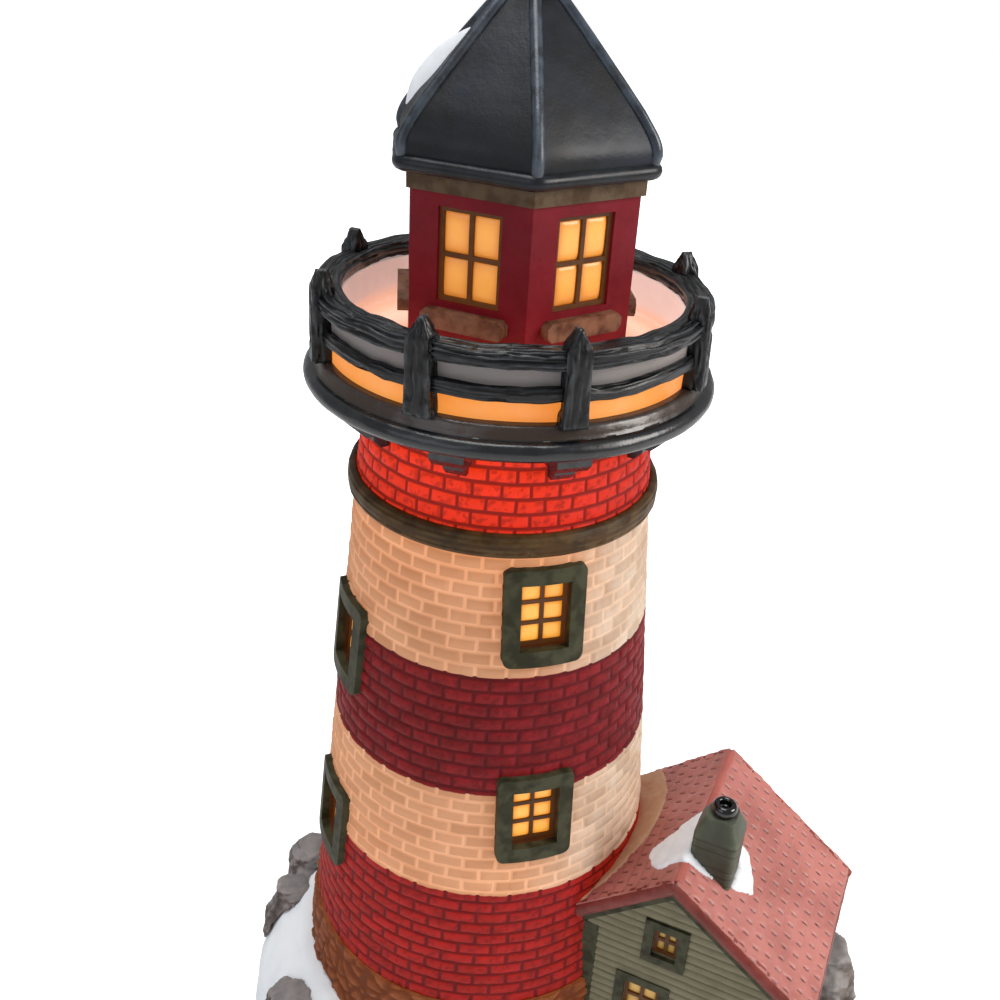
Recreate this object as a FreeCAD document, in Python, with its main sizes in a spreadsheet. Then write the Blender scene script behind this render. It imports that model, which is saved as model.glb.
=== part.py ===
"""Table-top porcelain lighthouse with a keeper's cottage and a lift-out lamp unit.

Millimetres, +Z up.  The table is z = 0 and the origin is the middle of the footprint.
The tower axis stands off that middle by tower_x and tower_y.  Azimuths around the tower
count from the front, -Y, towards +X.  The cottage has a frame of its own: u runs to the
right along its front wall, v runs back along the ridge, and both start under the front
end of the ridge.
"""
import FreeCAD
import Part
import Sketcher
import math
import os

DOC = FreeCAD.newDocument("lighthouse")

# ---------------------------------------------------------------- driving dimensions
DRIVING = {
    # where the tower stands, and its tapering shaft
    "tower_x": -22.0, "tower_y": 0.53,
    "shaft_r": 40.0, "shaft_z": 156.6, "slope": 5.137, "wall": 4.0,
    "ground_z": 31.5, "footing_top_z": 51.0, "footing_proud": 0.8,
    "shaft_top_z": 217.5,
    # snow-covered base casting, open underneath, with the cup that takes the lamp unit
    "mound_r": 72.0, "mound_hip_r": 71.0, "mound_hip_z": 9.0, "mound_waist_r": 67.5,
    "mound_waist_z": 19.0, "mound_brow_r": 63.0, "mound_brow_z": 26.5, "mound_top_r": 56.0,
    "mound_sides": 30,
    "skin": 5.0, "cup_r": 46.0, "cup_floor_z": 12.0, "cup_floor": 4.0,
    "lamp_hole_r": 28.0, "notch_w": 9.0, "notch_top": 8.5,
    "yard_left": -16.0, "yard_right": 50.0, "yard_front": -10.0, "yard_back": 62.0,
    "yard_z": 22.0, "yard_corner": 15.0, "yard_draft": 14.0,
    # boulders round the foot of the tower and beside the cottage
    "rock_foot_z": 2.0,
    "rock_1_az": -57.0, "rock_1_r": 63.0, "rock_1_size": 12.0, "rock_1_top": 31.0,
    "rock_2_az": -94.0, "rock_2_r": 60.5, "rock_2_size": 9.5, "rock_2_top": 35.0,
    "rock_3_az": -111.0, "rock_3_r": 60.0, "rock_3_size": 11.0, "rock_3_top": 40.0,
    "rock_4_az": -131.0, "rock_4_r": 60.5, "rock_4_size": 11.5, "rock_4_top": 36.0,
    "rock_5_az": -152.0, "rock_5_r": 61.0, "rock_5_size": 10.0, "rock_5_top": 38.5,
    "rock_6_az": -170.0, "rock_6_r": 60.0, "rock_6_size": 10.5, "rock_6_top": 34.0,
    "rock_7_az": -188.0, "rock_7_r": 59.0, "rock_7_size": 11.5, "rock_7_top": 37.5,
    "bank_u": 38.5, "bank_v": 38.0, "bank_size": 14.0, "bank_rise": 57.0, "bank_foot_z": 0.0,
    # tower windows
    "win_w": 12.2, "win_tall": 17.6, "win_trim_w": 20.0, "win_trim_tall": 25.7,
    "win_proud": 2.2, "win_corner": 2.0, "win_recess": 1.5, "pane": 1.0, "bar_w": 1.0,
    "bar_deep": 0.9, "win_front_az": 17.5, "win_left_az": -66.0,
    "win_upper_front_z": 173.4, "win_upper_left_z": 149.6,
    "win_lower_front_z": 115.1, "win_lower_left_z": 90.2,
    # opening in the shaft that lets light into the cottage
    "port_w": 20.0, "port_low_z": 54.0, "port_top_z": 76.0, "port_az": 70.0,
    # ring moulding and gallery
    "ring_z": 192.0, "ring_tall": 6.0, "ring_proud": 2.6, "ring_bevel": 1.5,
    "deck_top_z": 225.5, "deck_hole_r": 21.0, "deck_r": 46.0, "roll_out_r": 49.5,
    "roll_z": 220.4, "roll_tall": 4.2, "roll_bevel": 1.3,
    "corbel_count": 10, "corbel_first": 20.0, "corbel_wide": 8.0, "corbel_narrow": 4.8,
    "corbel_out": 44.4, "corbel_in": 39.6, "corbel_step_z": 212.6, "corbel_low_z": 208.5,
    "corbel_toe": 2.1,
    # parapet wall and the fence modelled on it
    "parapet_in_r": 40.2, "parapet_r": 43.8, "rail_low_z": 237.7, "rail_top_z": 241.5,
    "rail_in_r": 40.2, "rail_out_r": 46.8,
    "mid_low_z": 230.4, "mid_top_z": 233.7, "mid_out_r": 45.8,
    "post_w": 5.7, "post_r": 48.2, "post_tip_z": 246.4, "post_shoulder_z": 242.2,
    "post_tip_w": 1.4,
    "post_az_1": -23.2, "post_az_2": 17.5, "post_az_3": 66.5, "post_az_4": 112.0,
    "post_az_5": 157.0, "post_az_6": 201.0, "post_az_7": 243.0, "post_az_8": 289.5,
    # six-sided lantern room
    "lantern_r": 28.5, "lantern_wall": 3.0, "lantern_az": 6.0,
    "lwin_w": 15.0, "lwin_low_z": 242.5, "lwin_top_z": 263.0, "lwin_recess": 0.9,
    "lwin_frame": 1.0, "sill_w": 20.2, "sill_tall": 4.2, "sill_drop": 1.4, "sill_out": 2.6,
    "sill_bevel": 1.1,
    "cornice_z": 265.9, "cornice_r": 29.6, "cornice_in_r": 25.0,
    # bell-shaped six-sided roof: hip radius and height at each station
    "eave_z": 269.5, "eave_r": 31.0, "eave_wire": 1.7, "roof_thick": 3.4,
    "hip_r_1": 31.2, "hip_z_1": 275.4, "hip_r_2": 28.2, "hip_z_2": 280.4,
    "hip_r_3": 23.0, "hip_z_3": 286.3, "hip_r_4": 9.8, "hip_z_4": 300.2,
    "hip_r_5": 2.0, "hip_z_5": 308.2, "hip_wire": 1.25,
    "cap_r": 6.2, "cap_low_z": 305.0, "cap_top_z": 309.0, "ball_r": 2.7, "ball_z": 311.8,
    "finial_sides": 20,
    "drift_w": 17.0, "drift_low_z": 278.0, "drift_top_z": 297.0, "drift_thick": 1.8,
    # keeper's cottage
    "turn": -23.2, "tower_u": -65.4, "tower_v": 24.7,
    "house_left": -22.0, "house_right": 35.0, "house_front": 2.3, "house_back": 55.7,
    "house_wall": 3.0, "ridge_z": 100.1, "roof_len": 58.0,
    "eave_u": 40.3, "pitch_right": 36.4, "left_eave_u": -26.0, "pitch_left": 40.5,
    "slab": 3.7, "board_w": 3.4, "board_proud": 0.9, "rake_w": 3.2,
    "attic_w": 6.8, "attic_tall": 10.0, "attic_u": 0.1, "attic_z": 75.8,
    "low_w": 10.0, "low_tall": 14.0, "low_left_u": -4.2, "low_right_u": 19.4, "low_z": 50.5,
    "side_v": 15.5, "side_z": 50.5, "trim": 2.7, "trim_proud": 1.3, "cottage_recess": 0.8,
    "chim_u": 6.4, "chim_v": 17.3, "chim_w": 12.0, "chim_shoulder_z": 108.0,
    "chim_top_z": 113.4, "chim_top_w": 7.8, "chim_foot_z": 84.0,
    "pot_r": 3.3, "pot_tall": 3.4, "pot_bore": 1.6,
    "snow_thick": 1.3, "flash_thick": 1.4, "flash_r": 49.5, "flash_u": -62.3, "flash_v": 32.6,
    # lift-out lamp unit
    "flange_r": 32.0, "flange": 3.0, "neck_gap": 0.35, "neck_wall": 2.0, "neck_top_z": 19.0,
    "clip_w": 8.0, "clip_thick": 0.6, "clip_leg_r": 25.2, "clip_out_r": 27.2, "clip_bend_z": 23.0,
    "clip_out_z": 27.0, "clip_top_z": 34.0, "clip_top_r": 24.0,
    "riser_x": -8.5, "riser_r": 4.0, "riser_bore": 3.0, "upper_holder_z": 158.0,
    "lower_x": 12.5, "holder_r": 9.5, "holder_tall": 28.0, "holder_floor": 12.0,
    "holder_foot_r": 5.5, "holder_foot": 4.0, "screw_r": 5.95, "screw_gap": 0.08,
    "cap_tall": 11.0, "tip_r": 3.0, "tip_tall": 2.0,
    "glass_r": 10.4, "glass_neck_r": 5.4, "glass_neck": 4.0, "glass_tall": 36.0,
    "glass_wide_at": 14.0, "glass_tip_r": 1.6, "glass_sides": 24,
    "yoke_thick": 2.0, "yoke_z": 30.0, "yoke_w": 9.0,
    "cord_hole_r": 3.0, "cord_hole_y": 18.0,
}

SHEET = DOC.addObject("Spreadsheet::Sheet", "Sizes")
for row, (alias, number) in enumerate(DRIVING.items(), start=1):
    SHEET.set(f"A{row}", alias)
    SHEET.set(f"B{row}", str(number))
    SHEET.setAlias(f"B{row}", alias)
DOC.recompute()


class Size:
    """A number together with the sheet formula it comes from."""

    def __init__(self, value, formula):
        self.value = float(value)
        self.formula = formula

    def __add__(self, other):
        other = sized(other)
        return Size(self.value + other.value, f"({self.formula} + {other.formula})")

    def __sub__(self, other):
        other = sized(other)
        return Size(self.value - other.value, f"({self.formula} - {other.formula})")

    def __mul__(self, other):
        other = sized(other)
        return Size(self.value * other.value, f"({self.formula} * {other.formula})")

    def __truediv__(self, other):
        other = sized(other)
        return Size(self.value / other.value, f"({self.formula} / {other.formula})")

    def __neg__(self):
        return Size(-self.value, f"(0 - {self.formula})")

    def __radd__(self, other):
        return sized(other) + self

    def __rsub__(self, other):
        return sized(other) - self

    def __rmul__(self, other):
        return sized(other) * self


def sized(number):
    """Wraps a plain number so that it mixes with sizes from the sheet."""
    if isinstance(number, Size):
        return number
    return Size(number, repr(float(number)))


def dim(alias):
    """The driving dimension with that alias."""
    return Size(DRIVING[alias], f"Sizes.{alias}")


def cosine(angle):
    return Size(math.cos(math.radians(angle.value)), f"cos({angle.formula})")


def sine(angle):
    return Size(math.sin(math.radians(angle.value)), f"sin({angle.formula})")


def tangent(angle):
    return Size(math.tan(math.radians(angle.value)), f"tan({angle.formula})")


def shaft_radius(height):
    """Outer radius of the tapering shaft at a height."""
    return dim("shaft_r") + tangent(dim("slope")) * (dim("shaft_z") - height)


# ---------------------------------------------------------------- modelling helpers
def bind(thing, name, size):
    """Ties one property of an object to the sheet."""
    thing.setExpression(name, sized(size).formula)


def put(thing, x=0, y=0, z=0, turn=0, tilt_axis=None):
    """Places an object, turned about its own Z or about a given axis."""
    axis = tilt_axis or FreeCAD.Vector(0, 0, 1)
    rotation = FreeCAD.Rotation(axis, sized(turn).value)
    spot = FreeCAD.Vector(sized(x).value, sized(y).value, sized(z).value)
    thing.Placement = FreeCAD.Placement(spot, rotation)
    for name, size in (("x", x), ("y", y), ("z", z)):
        if isinstance(size, Size):
            bind(thing, f"Placement.Base.{name}", size)
    if isinstance(turn, Size):
        bind(thing, "Placement.Rotation.Angle", turn)
    return thing


def box(name, x, y, z):
    """A box between two limits on each axis, each given as a pair."""
    block = DOC.addObject("Part::Box", name)
    for side, span in (("Length", x), ("Width", y), ("Height", z)):
        bind(block, side, span[1] - span[0])
    return put(block, x[0], y[0], z[0])


def cylinder(name, radius, low, high, x=0, y=0):
    rod = DOC.addObject("Part::Cylinder", name)
    bind(rod, "Radius", radius)
    bind(rod, "Height", high - low)
    return put(rod, x, y, low)


def cone(name, low_radius, high_radius, low, high, x=0, y=0):
    frustum = DOC.addObject("Part::Cone", name)
    bind(frustum, "Radius1", low_radius)
    bind(frustum, "Radius2", high_radius)
    bind(frustum, "Height", high - low)
    return put(frustum, x, y, low)


def prism(name, radius, low, high, turn):
    """A six-sided prism about the tower axis."""
    block = DOC.addObject("Part::Prism", name)
    block.Polygon = 6
    bind(block, "Circumradius", radius)
    bind(block, "Height", high - low)
    return put(block, 0, 0, low, turn)


def joined(name, pieces):
    """One solid from several that run into each other."""
    union = DOC.addObject("Part::MultiFuse", name)
    union.Shapes = pieces
    union.Refine = True
    return union


def grouped(name, pieces):
    """Separate solids that travel together."""
    group = DOC.addObject("Part::Compound", name)
    group.Links = pieces
    return group


def cut(name, base, tools):
    """A solid with others taken out of it."""
    result = DOC.addObject("Part::Cut", name)
    result.Base = base
    result.Tool = tools[0] if len(tools) == 1 else grouped(f"{name}_tools", tools)
    return result


def overlap(name, pieces):
    shared = DOC.addObject("Part::MultiCommon", name)
    shared.Shapes = pieces
    return shared


def origin_plane(body, role):
    return [item for item in body.Origin.OriginFeatures if item.Role == role][0]


def arc_between(start, end, radius):
    """Arc from start to end; a positive radius bulges to the right of the way there."""
    run = end - start
    left = FreeCAD.Vector(-run.y, run.x, 0).normalize()
    reach = math.sqrt(max(radius * radius - run.Length ** 2 / 4, 0))
    side = 1 if radius > 0 else -1
    centre = (start + end) * 0.5 + left * reach * side
    first, last = (start, end) if radius > 0 else (end, start)
    angles = [math.atan2(point.y - centre.y, point.x - centre.x) for point in (first, last)]
    circle = Part.Circle(centre, FreeCAD.Vector(0, 0, 1), abs(radius))
    return Part.ArcOfCircle(circle, angles[0], angles[1])


def outline(body, name, corners, role="XZ_Plane"):
    """A closed sketch through corners whose coordinates are sheet sizes.

    A corner is (x, y), or (x, y, radius) where an arc leads on to the next corner.
    """
    sketch = body.newObject("Sketcher::SketchObject", name)
    sketch.AttachmentSupport = (origin_plane(body, role), [""])
    sketch.MapMode = "FlatFace"
    corners = [tuple(sized(value) for value in corner) for corner in corners]
    points = [FreeCAD.Vector(corner[0].value, corner[1].value, 0) for corner in corners]
    starts, ends = [], []
    for index, corner in enumerate(corners):
        start, end = points[index], points[(index + 1) % len(points)]
        swapped = len(corner) == 3 and corner[2].value < 0
        starts.append(2 if swapped else 1)
        ends.append(1 if swapped else 2)
        if len(corner) == 3:
            sketch.addGeometry(arc_between(start, end, corner[2].value), False)
            held = sketch.addConstraint(
                Sketcher.Constraint("Radius", index, abs(corner[2].value)))
            bind(sketch, f"Constraints[{held}]", corner[2] if not swapped else -corner[2])
        else:
            sketch.addGeometry(Part.LineSegment(start, end), False)
    for index in range(len(corners)):
        after = (index + 1) % len(corners)
        sketch.addConstraint(
            Sketcher.Constraint("Coincident", index, ends[index], after, starts[after]))
    for index, corner in enumerate(corners):
        for kind, axis, size in (("DistanceX", -2, corner[0]), ("DistanceY", -1, corner[1])):
            if abs(size.value) < 1e-9:
                sketch.addConstraint(
                    Sketcher.Constraint("PointOnObject", index, starts[index], axis))
                continue
            held = sketch.addConstraint(
                Sketcher.Constraint(kind, -1, 1, index, starts[index], size.value))
            bind(sketch, f"Constraints[{held}]", size)
    return sketch


def turned(name, corners):
    """A piece turned about the Z axis from its half profile."""
    body = DOC.addObject("PartDesign::Body", name)
    sketch = outline(body, f"{name}_profile", corners)
    feature = body.newObject("PartDesign::Revolution", f"{name}_turned")
    feature.Profile = sketch
    feature.ReferenceAxis = (sketch, ["V_Axis"])
    feature.Angle = 360
    return body


def padded(name, corners, length, role="XZ_Plane", reversed_way=False, middle=False, draft=None):
    """A piece of one thickness from its outline; on the XZ plane it grows towards -Y."""
    body = DOC.addObject("PartDesign::Body", name)
    sketch = outline(body, f"{name}_outline", corners, role)
    feature = body.newObject("PartDesign::Pad", f"{name}_pad")
    feature.Profile = sketch
    bind(feature, "Length", length)
    feature.Reversed = reversed_way
    if middle:
        feature.SideType = "Symmetric"
    if draft is not None:
        feature.TaperAngle = -draft.value
        bind(feature, "TaperAngle", -draft)
    return body


def round_rect(left, right, low, high, corner):
    """Corners of a rectangle with rounded corners, anticlockwise."""
    return [(left + corner, low), (right - corner, low, corner),
            (right, low + corner), (right, high - corner, corner),
            (right - corner, high), (left + corner, high, corner),
            (left, high - corner), (left, low + corner, corner)]


def bevelled(left, right, low, high, bevel):
    """Corners of a rectangle with its corners cut off, anticlockwise."""
    return [(left + bevel, low), (right - bevel, low), (right, low + bevel),
            (right, high - bevel), (right - bevel, high), (left + bevel, high),
            (left, high - bevel), (left, low + bevel)]


def swung(name, thing, azimuth):
    """A copy turned about the Z axis."""
    return put(grouped(name, [thing]), turn=azimuth)


def ring_of(name, thing, azimuths):
    """Copies of a piece around the Z axis, kept as separate solids."""
    return grouped(name, [swung(f"{name}_{index}", thing, azimuth)
                          for index, azimuth in enumerate(azimuths, start=1)])


def grille(name, width, tall, columns, rows, bar, deep):
    """A window's bars: a flat frame, upright and centred, its front face at y = 0."""
    plate = box(f"{name}_plate", (width / -2, width / 2), (sized(0), deep), (tall / -2, tall / 2))
    light_w = (width - bar * (columns + 1)) / columns
    light_tall = (tall - bar * (rows + 1)) / rows
    lights = []
    for column in range(columns):
        left = width / -2 + bar + (light_w + bar) * column
        for row_index in range(rows):
            low = tall / -2 + bar + (light_tall + bar) * row_index
            lights.append(box(f"{name}_light_{column}_{row_index}", (left, left + light_w),
                              (sized(-1), deep + 1), (low, low + light_tall)))
    return cut(name, plate, lights)


NODES = []


def node(thing, label, on_cottage=False, turn=None):
    """Names a finished sub-part and sets it where it belongs."""
    thing.Label = label
    x, y = dim("tower_x"), dim("tower_y")
    if on_cottage:
        heading = dim("turn")
        x = x - dim("tower_u") * cosine(heading) + dim("tower_v") * sine(heading)
        y = y - dim("tower_u") * sine(heading) - dim("tower_v") * cosine(heading)
        turn = heading
    put(thing, x, y, 0, turn if turn is not None else 0)
    NODES.append(thing)
    return thing


def corner_ring(sides, radius, height, x=0, y=0, turn=0):
    """Corners of a regular polygon lying at a height."""
    points = []
    for index in range(sides):
        angle = math.radians(turn + 360 * index / sides)
        points.append(FreeCAD.Vector(sized(x).value + sized(radius).value * math.cos(angle),
                                     sized(y).value + sized(radius).value * math.sin(angle),
                                     sized(height).value))
    return points


def flat_face(corners):
    return Part.Face(Part.makePolygon(corners + corners[:1]))


def faceted(name, rings):
    """A solid with flat sides between rings that all have as many corners."""
    faces = [flat_face(rings[0][::-1]), flat_face(rings[-1])]
    for low, high in zip(rings, rings[1:]):
        for index in range(len(low)):
            after = (index + 1) % len(low)
            faces.append(flat_face([low[index], low[after], high[after], high[index]]))
    feature = DOC.addObject("Part::Feature", name)
    feature.Shape = Part.makeSolid(Part.makeShell(faces))
    return feature


# ---------------------------------------------------------------- shapes that others are cut by
def make_mound(name, inset=0):
    """The snow bank round the tower's foot, or its hollow when inset by the skin."""
    sides = DRIVING["mound_sides"]
    stations = [("mound_r", 0, 0), ("mound_hip_r", dim("mound_hip_z"), 0.2),
                ("mound_waist_r", dim("mound_waist_z"), 0.4),
                ("mound_brow_r", dim("mound_brow_z"), 0.7), ("mound_top_r", dim("ground_z"), 1)]
    return faceted(name, [corner_ring(sides, dim(radius) - inset, height - inset * share)
                          for radius, height, share in stations])


def make_yard(name, inset=0):
    """The raised yard under the cottage, or its hollow when inset by the skin."""
    inset = sized(inset)
    corners = round_rect(dim("yard_left") + inset, dim("yard_right") - inset,
                         dim("yard_front") + inset, dim("yard_back") - inset,
                         dim("yard_corner") - inset)
    return padded(name, corners, dim("yard_z") - inset, "XY_Plane", draft=dim("yard_draft"))


def on_yard(name, thing):
    """A cottage piece seen from the tower axis."""
    heading = dim("turn")
    x = dim("tower_v") * sine(heading) - dim("tower_u") * cosine(heading)
    y = sized(0) - dim("tower_u") * sine(heading) - dim("tower_v") * cosine(heading)
    return put(grouped(name, [thing]), x, y, 0, heading)


def by_tower(name, thing):
    """A tower piece seen from the cottage."""
    return put(grouped(name, [thing]), dim("tower_u"), dim("tower_v"))


def roof_top(u):
    """Height of the cottage roof's outer surface at a distance u from the ridge."""
    if u.value < 0:
        return dim("ridge_z") + u * tangent(dim("pitch_left"))
    return dim("ridge_z") - u * tangent(dim("pitch_right"))


def roof_underside(u):
    return roof_top(u) - dim("slab")


def make_shaft_block():
    """Everything inside the outer face of the shaft and its footing."""
    footing_z, ground_z, top_z = dim("footing_top_z"), dim("ground_z"), dim("shaft_top_z")
    proud = dim("footing_proud")
    shaft = cone("shaft_block", shaft_radius(footing_z), shaft_radius(top_z), footing_z, top_z)
    foot = cone("foot_block", shaft_radius(ground_z) + proud, shaft_radius(footing_z) + proud,
                ground_z, footing_z)
    return joined("tower_block", [shaft, foot])


MOUND = make_mound("mound")
YARD = make_yard("yard")
TOWER_BLOCK = make_shaft_block()
YARD_BY_TOWER = on_yard("yard_by_tower", YARD)
GROUND = joined("ground", [MOUND, YARD_BY_TOWER])
TOWER_BY_COTTAGE = by_tower("tower_by_cottage", TOWER_BLOCK)
MOUND_BY_COTTAGE = by_tower("mound_by_cottage", MOUND)


# ---------------------------------------------------------------- base
def build_base():
    """Hollow snow-covered base with the cup that the lamp unit enters from below."""
    hollow = joined("base_hollow", [
        make_mound("mound_hollow", dim("skin")),
        on_yard("yard_hollow_placed", make_yard("yard_hollow", dim("skin")))])
    shell = cut("base_shell", GROUND, [hollow])
    floor_z = dim("cup_floor_z")
    cup = cylinder("cup", dim("cup_r") + dim("wall"), floor_z, dim("ground_z"))
    solid = joined("base_with_cup", [shell, cup])
    well = cylinder("cup_well", dim("cup_r"), floor_z + dim("cup_floor"), dim("ground_z") + 1)
    hole = cylinder("lamp_hole", dim("lamp_hole_r"), floor_z - 1, floor_z + dim("cup_floor") + 1)
    half = dim("notch_w") / 2
    notch = padded("cord_notch", [
        (-half, -1), (half, -1), (half, dim("notch_top") - half, half * 1.0001),
        (-half, dim("notch_top") - half)], dim("mound_r") + 5, reversed_way=True)
    node(cut("base", solid, [well, hole, notch]), "base_casting")


def boulder(name, size, rise, seed):
    """One seven-sided rock standing on z = 0, wider at its waist and leaning a little."""
    lean_x, lean_y = size * 0.16 * math.sin(seed), size * 0.16 * math.cos(1.7 * seed)
    stations = [(0.92 + 0.05 * math.sin(seed), 0, 0, 0), (1, 0.5, lean_x, lean_y),
                (0.84 + 0.05 * math.cos(seed), 0.83, lean_y, lean_x),
                (0.5, 1, lean_y, -lean_x)]
    return faceted(name, [corner_ring(7, size * share, rise * climb, x, y, 23 * seed)
                          for share, climb, x, y in stations])


def build_rocks():
    """Boulders round the tower's foot, bedded in the snow, and a bank beside the cottage."""
    rocks = []
    foot = dim("rock_foot_z")
    for number in range(1, 8):
        azimuth, away, size, top = (dim(f"rock_{number}_{what}")
                                    for what in ("az", "r", "size", "top"))
        rock = boulder(f"rock_{number}", size, top - foot, number)
        stone = put(grouped(f"stone_{number}", [rock]), 0, -away, foot)
        rocks.append(swung(f"rock_placed_{number}", stone, azimuth))
    ring = joined("rock_ring", rocks)
    node(cut("rocks_trimmed", ring, [GROUND, TOWER_BLOCK]), "foot_rocks")
    bank = put(grouped("bank_stone", [boulder("bank", dim("bank_size"), dim("bank_rise"), 4.3)]),
               dim("bank_u"), dim("bank_v"), dim("bank_foot_z"))
    slope = padded("bank_wall_side", [
        (dim("yard_left"), 0), (dim("house_right") + dim("board_proud"), 0),
        (dim("house_right") + dim("board_proud"), dim("ridge_z")),
        (dim("yard_left"), dim("ridge_z"))], dim("yard_back"), reversed_way=True)
    node(cut("bank_trimmed", bank, [YARD, slope]), "yard_boulder", on_cottage=True)


def build_footing():
    """Ring of fieldstone masonry under the brick shaft."""
    low, high, proud = dim("ground_z"), dim("footing_top_z"), dim("footing_proud")
    inner = shaft_radius(high) - dim("wall")
    node(turned("footing", [(inner, low), (shaft_radius(low) + proud, low),
                            (shaft_radius(high) + proud, high), (inner, high)]),
         "stone_footing")


# ---------------------------------------------------------------- shaft and its windows
WINDOWS = {
    "upper_front": ("win_front_az", "win_upper_front_z"),
    "upper_left": ("win_left_az", "win_upper_left_z"),
    "lower_front": ("win_front_az", "win_lower_front_z"),
    "lower_left": ("win_left_az", "win_lower_left_z"),
}


def leaned(name, thing, height):
    """A flat piece laid against the shaft's slope at a height, facing the front."""
    return put(grouped(name, [thing]), 0, -shaft_radius(height), height, -dim("slope"),
               FreeCAD.Vector(1, 0, 0))


def window_opening(place):
    azimuth, height = (dim(alias) for alias in WINDOWS[place])
    half_w, half_tall = dim("win_w") / 2, dim("win_tall") / 2
    hole = box(f"{place}_hole", (-half_w, half_w), (dim("win_proud") * -2, dim("wall") * 3),
               (-half_tall, half_tall))
    return swung(f"{place}_opening", leaned(f"{place}_leaned", hole, height), azimuth)


def build_shaft(openings):
    """Hollow tapering brick shaft, pierced for its windows and for the cottage's light."""
    low, high = dim("footing_top_z"), dim("shaft_top_z")
    shaft = turned("shaft", [
        (shaft_radius(low) - dim("wall"), low), (shaft_radius(low), low),
        (shaft_radius(high), high), (shaft_radius(high) - dim("wall"), high)])
    half = dim("port_w") / 2
    port = box("light_port", (-half, half), (sized(-60), sized(-25)),
               (dim("port_low_z"), dim("port_top_z")))
    tools = openings + [swung("light_port_placed", port, dim("port_az"))]
    node(cut("shaft_pierced", shaft, tools), "tower_shell")


def build_window(place, opening):
    """A curved trim on the brick, with bars and a lit pane set back in the opening."""
    azimuth, height = (dim(alias) for alias in WINDOWS[place])
    half_w, half_tall = dim("win_trim_w") / 2, dim("win_trim_tall") / 2
    low, high = height - half_tall, height + half_tall
    band = turned(f"{place}_band", [
        (shaft_radius(low), low), (shaft_radius(low) + dim("win_proud"), low),
        (shaft_radius(high) + dim("win_proud"), high), (shaft_radius(high), high)])
    slab = padded(f"{place}_slab", round_rect(-half_w, half_w, low, high, dim("win_corner")),
                  shaft_radius(low) + 10)
    trim = overlap(f"{place}_trim_blank", [band, swung(f"{place}_slab_placed", slab, azimuth)])
    node(cut(f"{place}_trim", trim, [opening]), f"window_frame_{place}")
    bars = put(grille(f"{place}_grille", dim("win_w"), dim("win_tall"), 2, 3, dim("bar_w"),
                      dim("bar_deep")), 0, dim("win_recess"))
    half_w, half_tall = dim("win_w") / 2, dim("win_tall") / 2
    back = dim("win_recess") + dim("bar_deep")
    pane = box(f"{place}_glazing", (-half_w, half_w), (back, back + dim("pane")),
               (-half_tall, half_tall))
    for thing, label in ((bars, "window_bars"), (pane, "window_pane")):
        set_back = leaned(f"{place}_{label}_leaned", thing, height)
        node(grouped(f"{place}_{label}", [set_back]), f"{label}_{place}", turn=azimuth)


def placed_windows():
    """Openings first, because the shaft and every trim are cut by them."""
    openings = {place: window_opening(place) for place in WINDOWS}
    build_shaft(list(openings.values()))
    for place, opening in openings.items():
        build_window(place, opening)


# ---------------------------------------------------------------- gallery
def build_ring_moulding():
    low, high = dim("ring_z") - dim("ring_tall") / 2, dim("ring_z") + dim("ring_tall") / 2
    bevel, outer = dim("ring_bevel"), shaft_radius(dim("ring_z")) + dim("ring_proud")
    node(turned("ring", [
        (shaft_radius(low), low), (outer - bevel, low), (outer, low + bevel),
        (outer, high - bevel), (outer - bevel, high), (shaft_radius(high), high)]),
        "ring_moulding")


def build_deck():
    """Gallery floor with a rolled rim below its step."""
    low, high, edge = dim("shaft_top_z"), dim("deck_top_z"), dim("deck_r")
    roll, bevel, half = dim("roll_out_r"), dim("roll_bevel"), dim("roll_tall") / 2
    middle = dim("roll_z")
    node(turned("deck", [
        (dim("deck_hole_r"), low), (edge, low), (edge, middle - half),
        (roll - bevel, middle - half), (roll, middle - half + bevel),
        (roll, middle + half - bevel), (roll - bevel, middle + half), (edge, middle + half),
        (edge, high), (dim("deck_hole_r"), high)]), "gallery_deck")


def bracket_block(name, reach, low, high, width, toe):
    """One block of a corbel: square at the wall, with its lower outer corner cut off."""
    root = shaft_radius(dim("shaft_top_z")) - 1
    return padded(name, [(root, low), (reach - toe, low), (reach, low + toe), (reach, high),
                         (root, high)], width, "YZ_Plane", middle=True)


def build_corbels():
    """Two-step corbels carrying the gallery, spaced evenly under its floor."""
    step = dim("corbel_step_z")
    upper = bracket_block("corbel_upper", dim("corbel_out"), step, dim("shaft_top_z"),
                          dim("corbel_wide"), dim("corbel_toe"))
    lower = bracket_block("corbel_lower", dim("corbel_in"), dim("corbel_low_z"), step,
                          dim("corbel_narrow"), dim("corbel_toe"))
    corbel = cut("corbel", joined("corbel_blank", [upper, lower]), [TOWER_BLOCK])
    count = DRIVING["corbel_count"]
    azimuths = [dim("corbel_first") + 360 / count * index for index in range(count)]
    node(ring_of("corbels", corbel, azimuths), "gallery_corbels")


def plank_ring(name, inner, outer, low, high):
    """A ring of rectangular section."""
    return turned(name, [(inner, low), (outer, low), (outer, high), (inner, high)])


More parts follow.
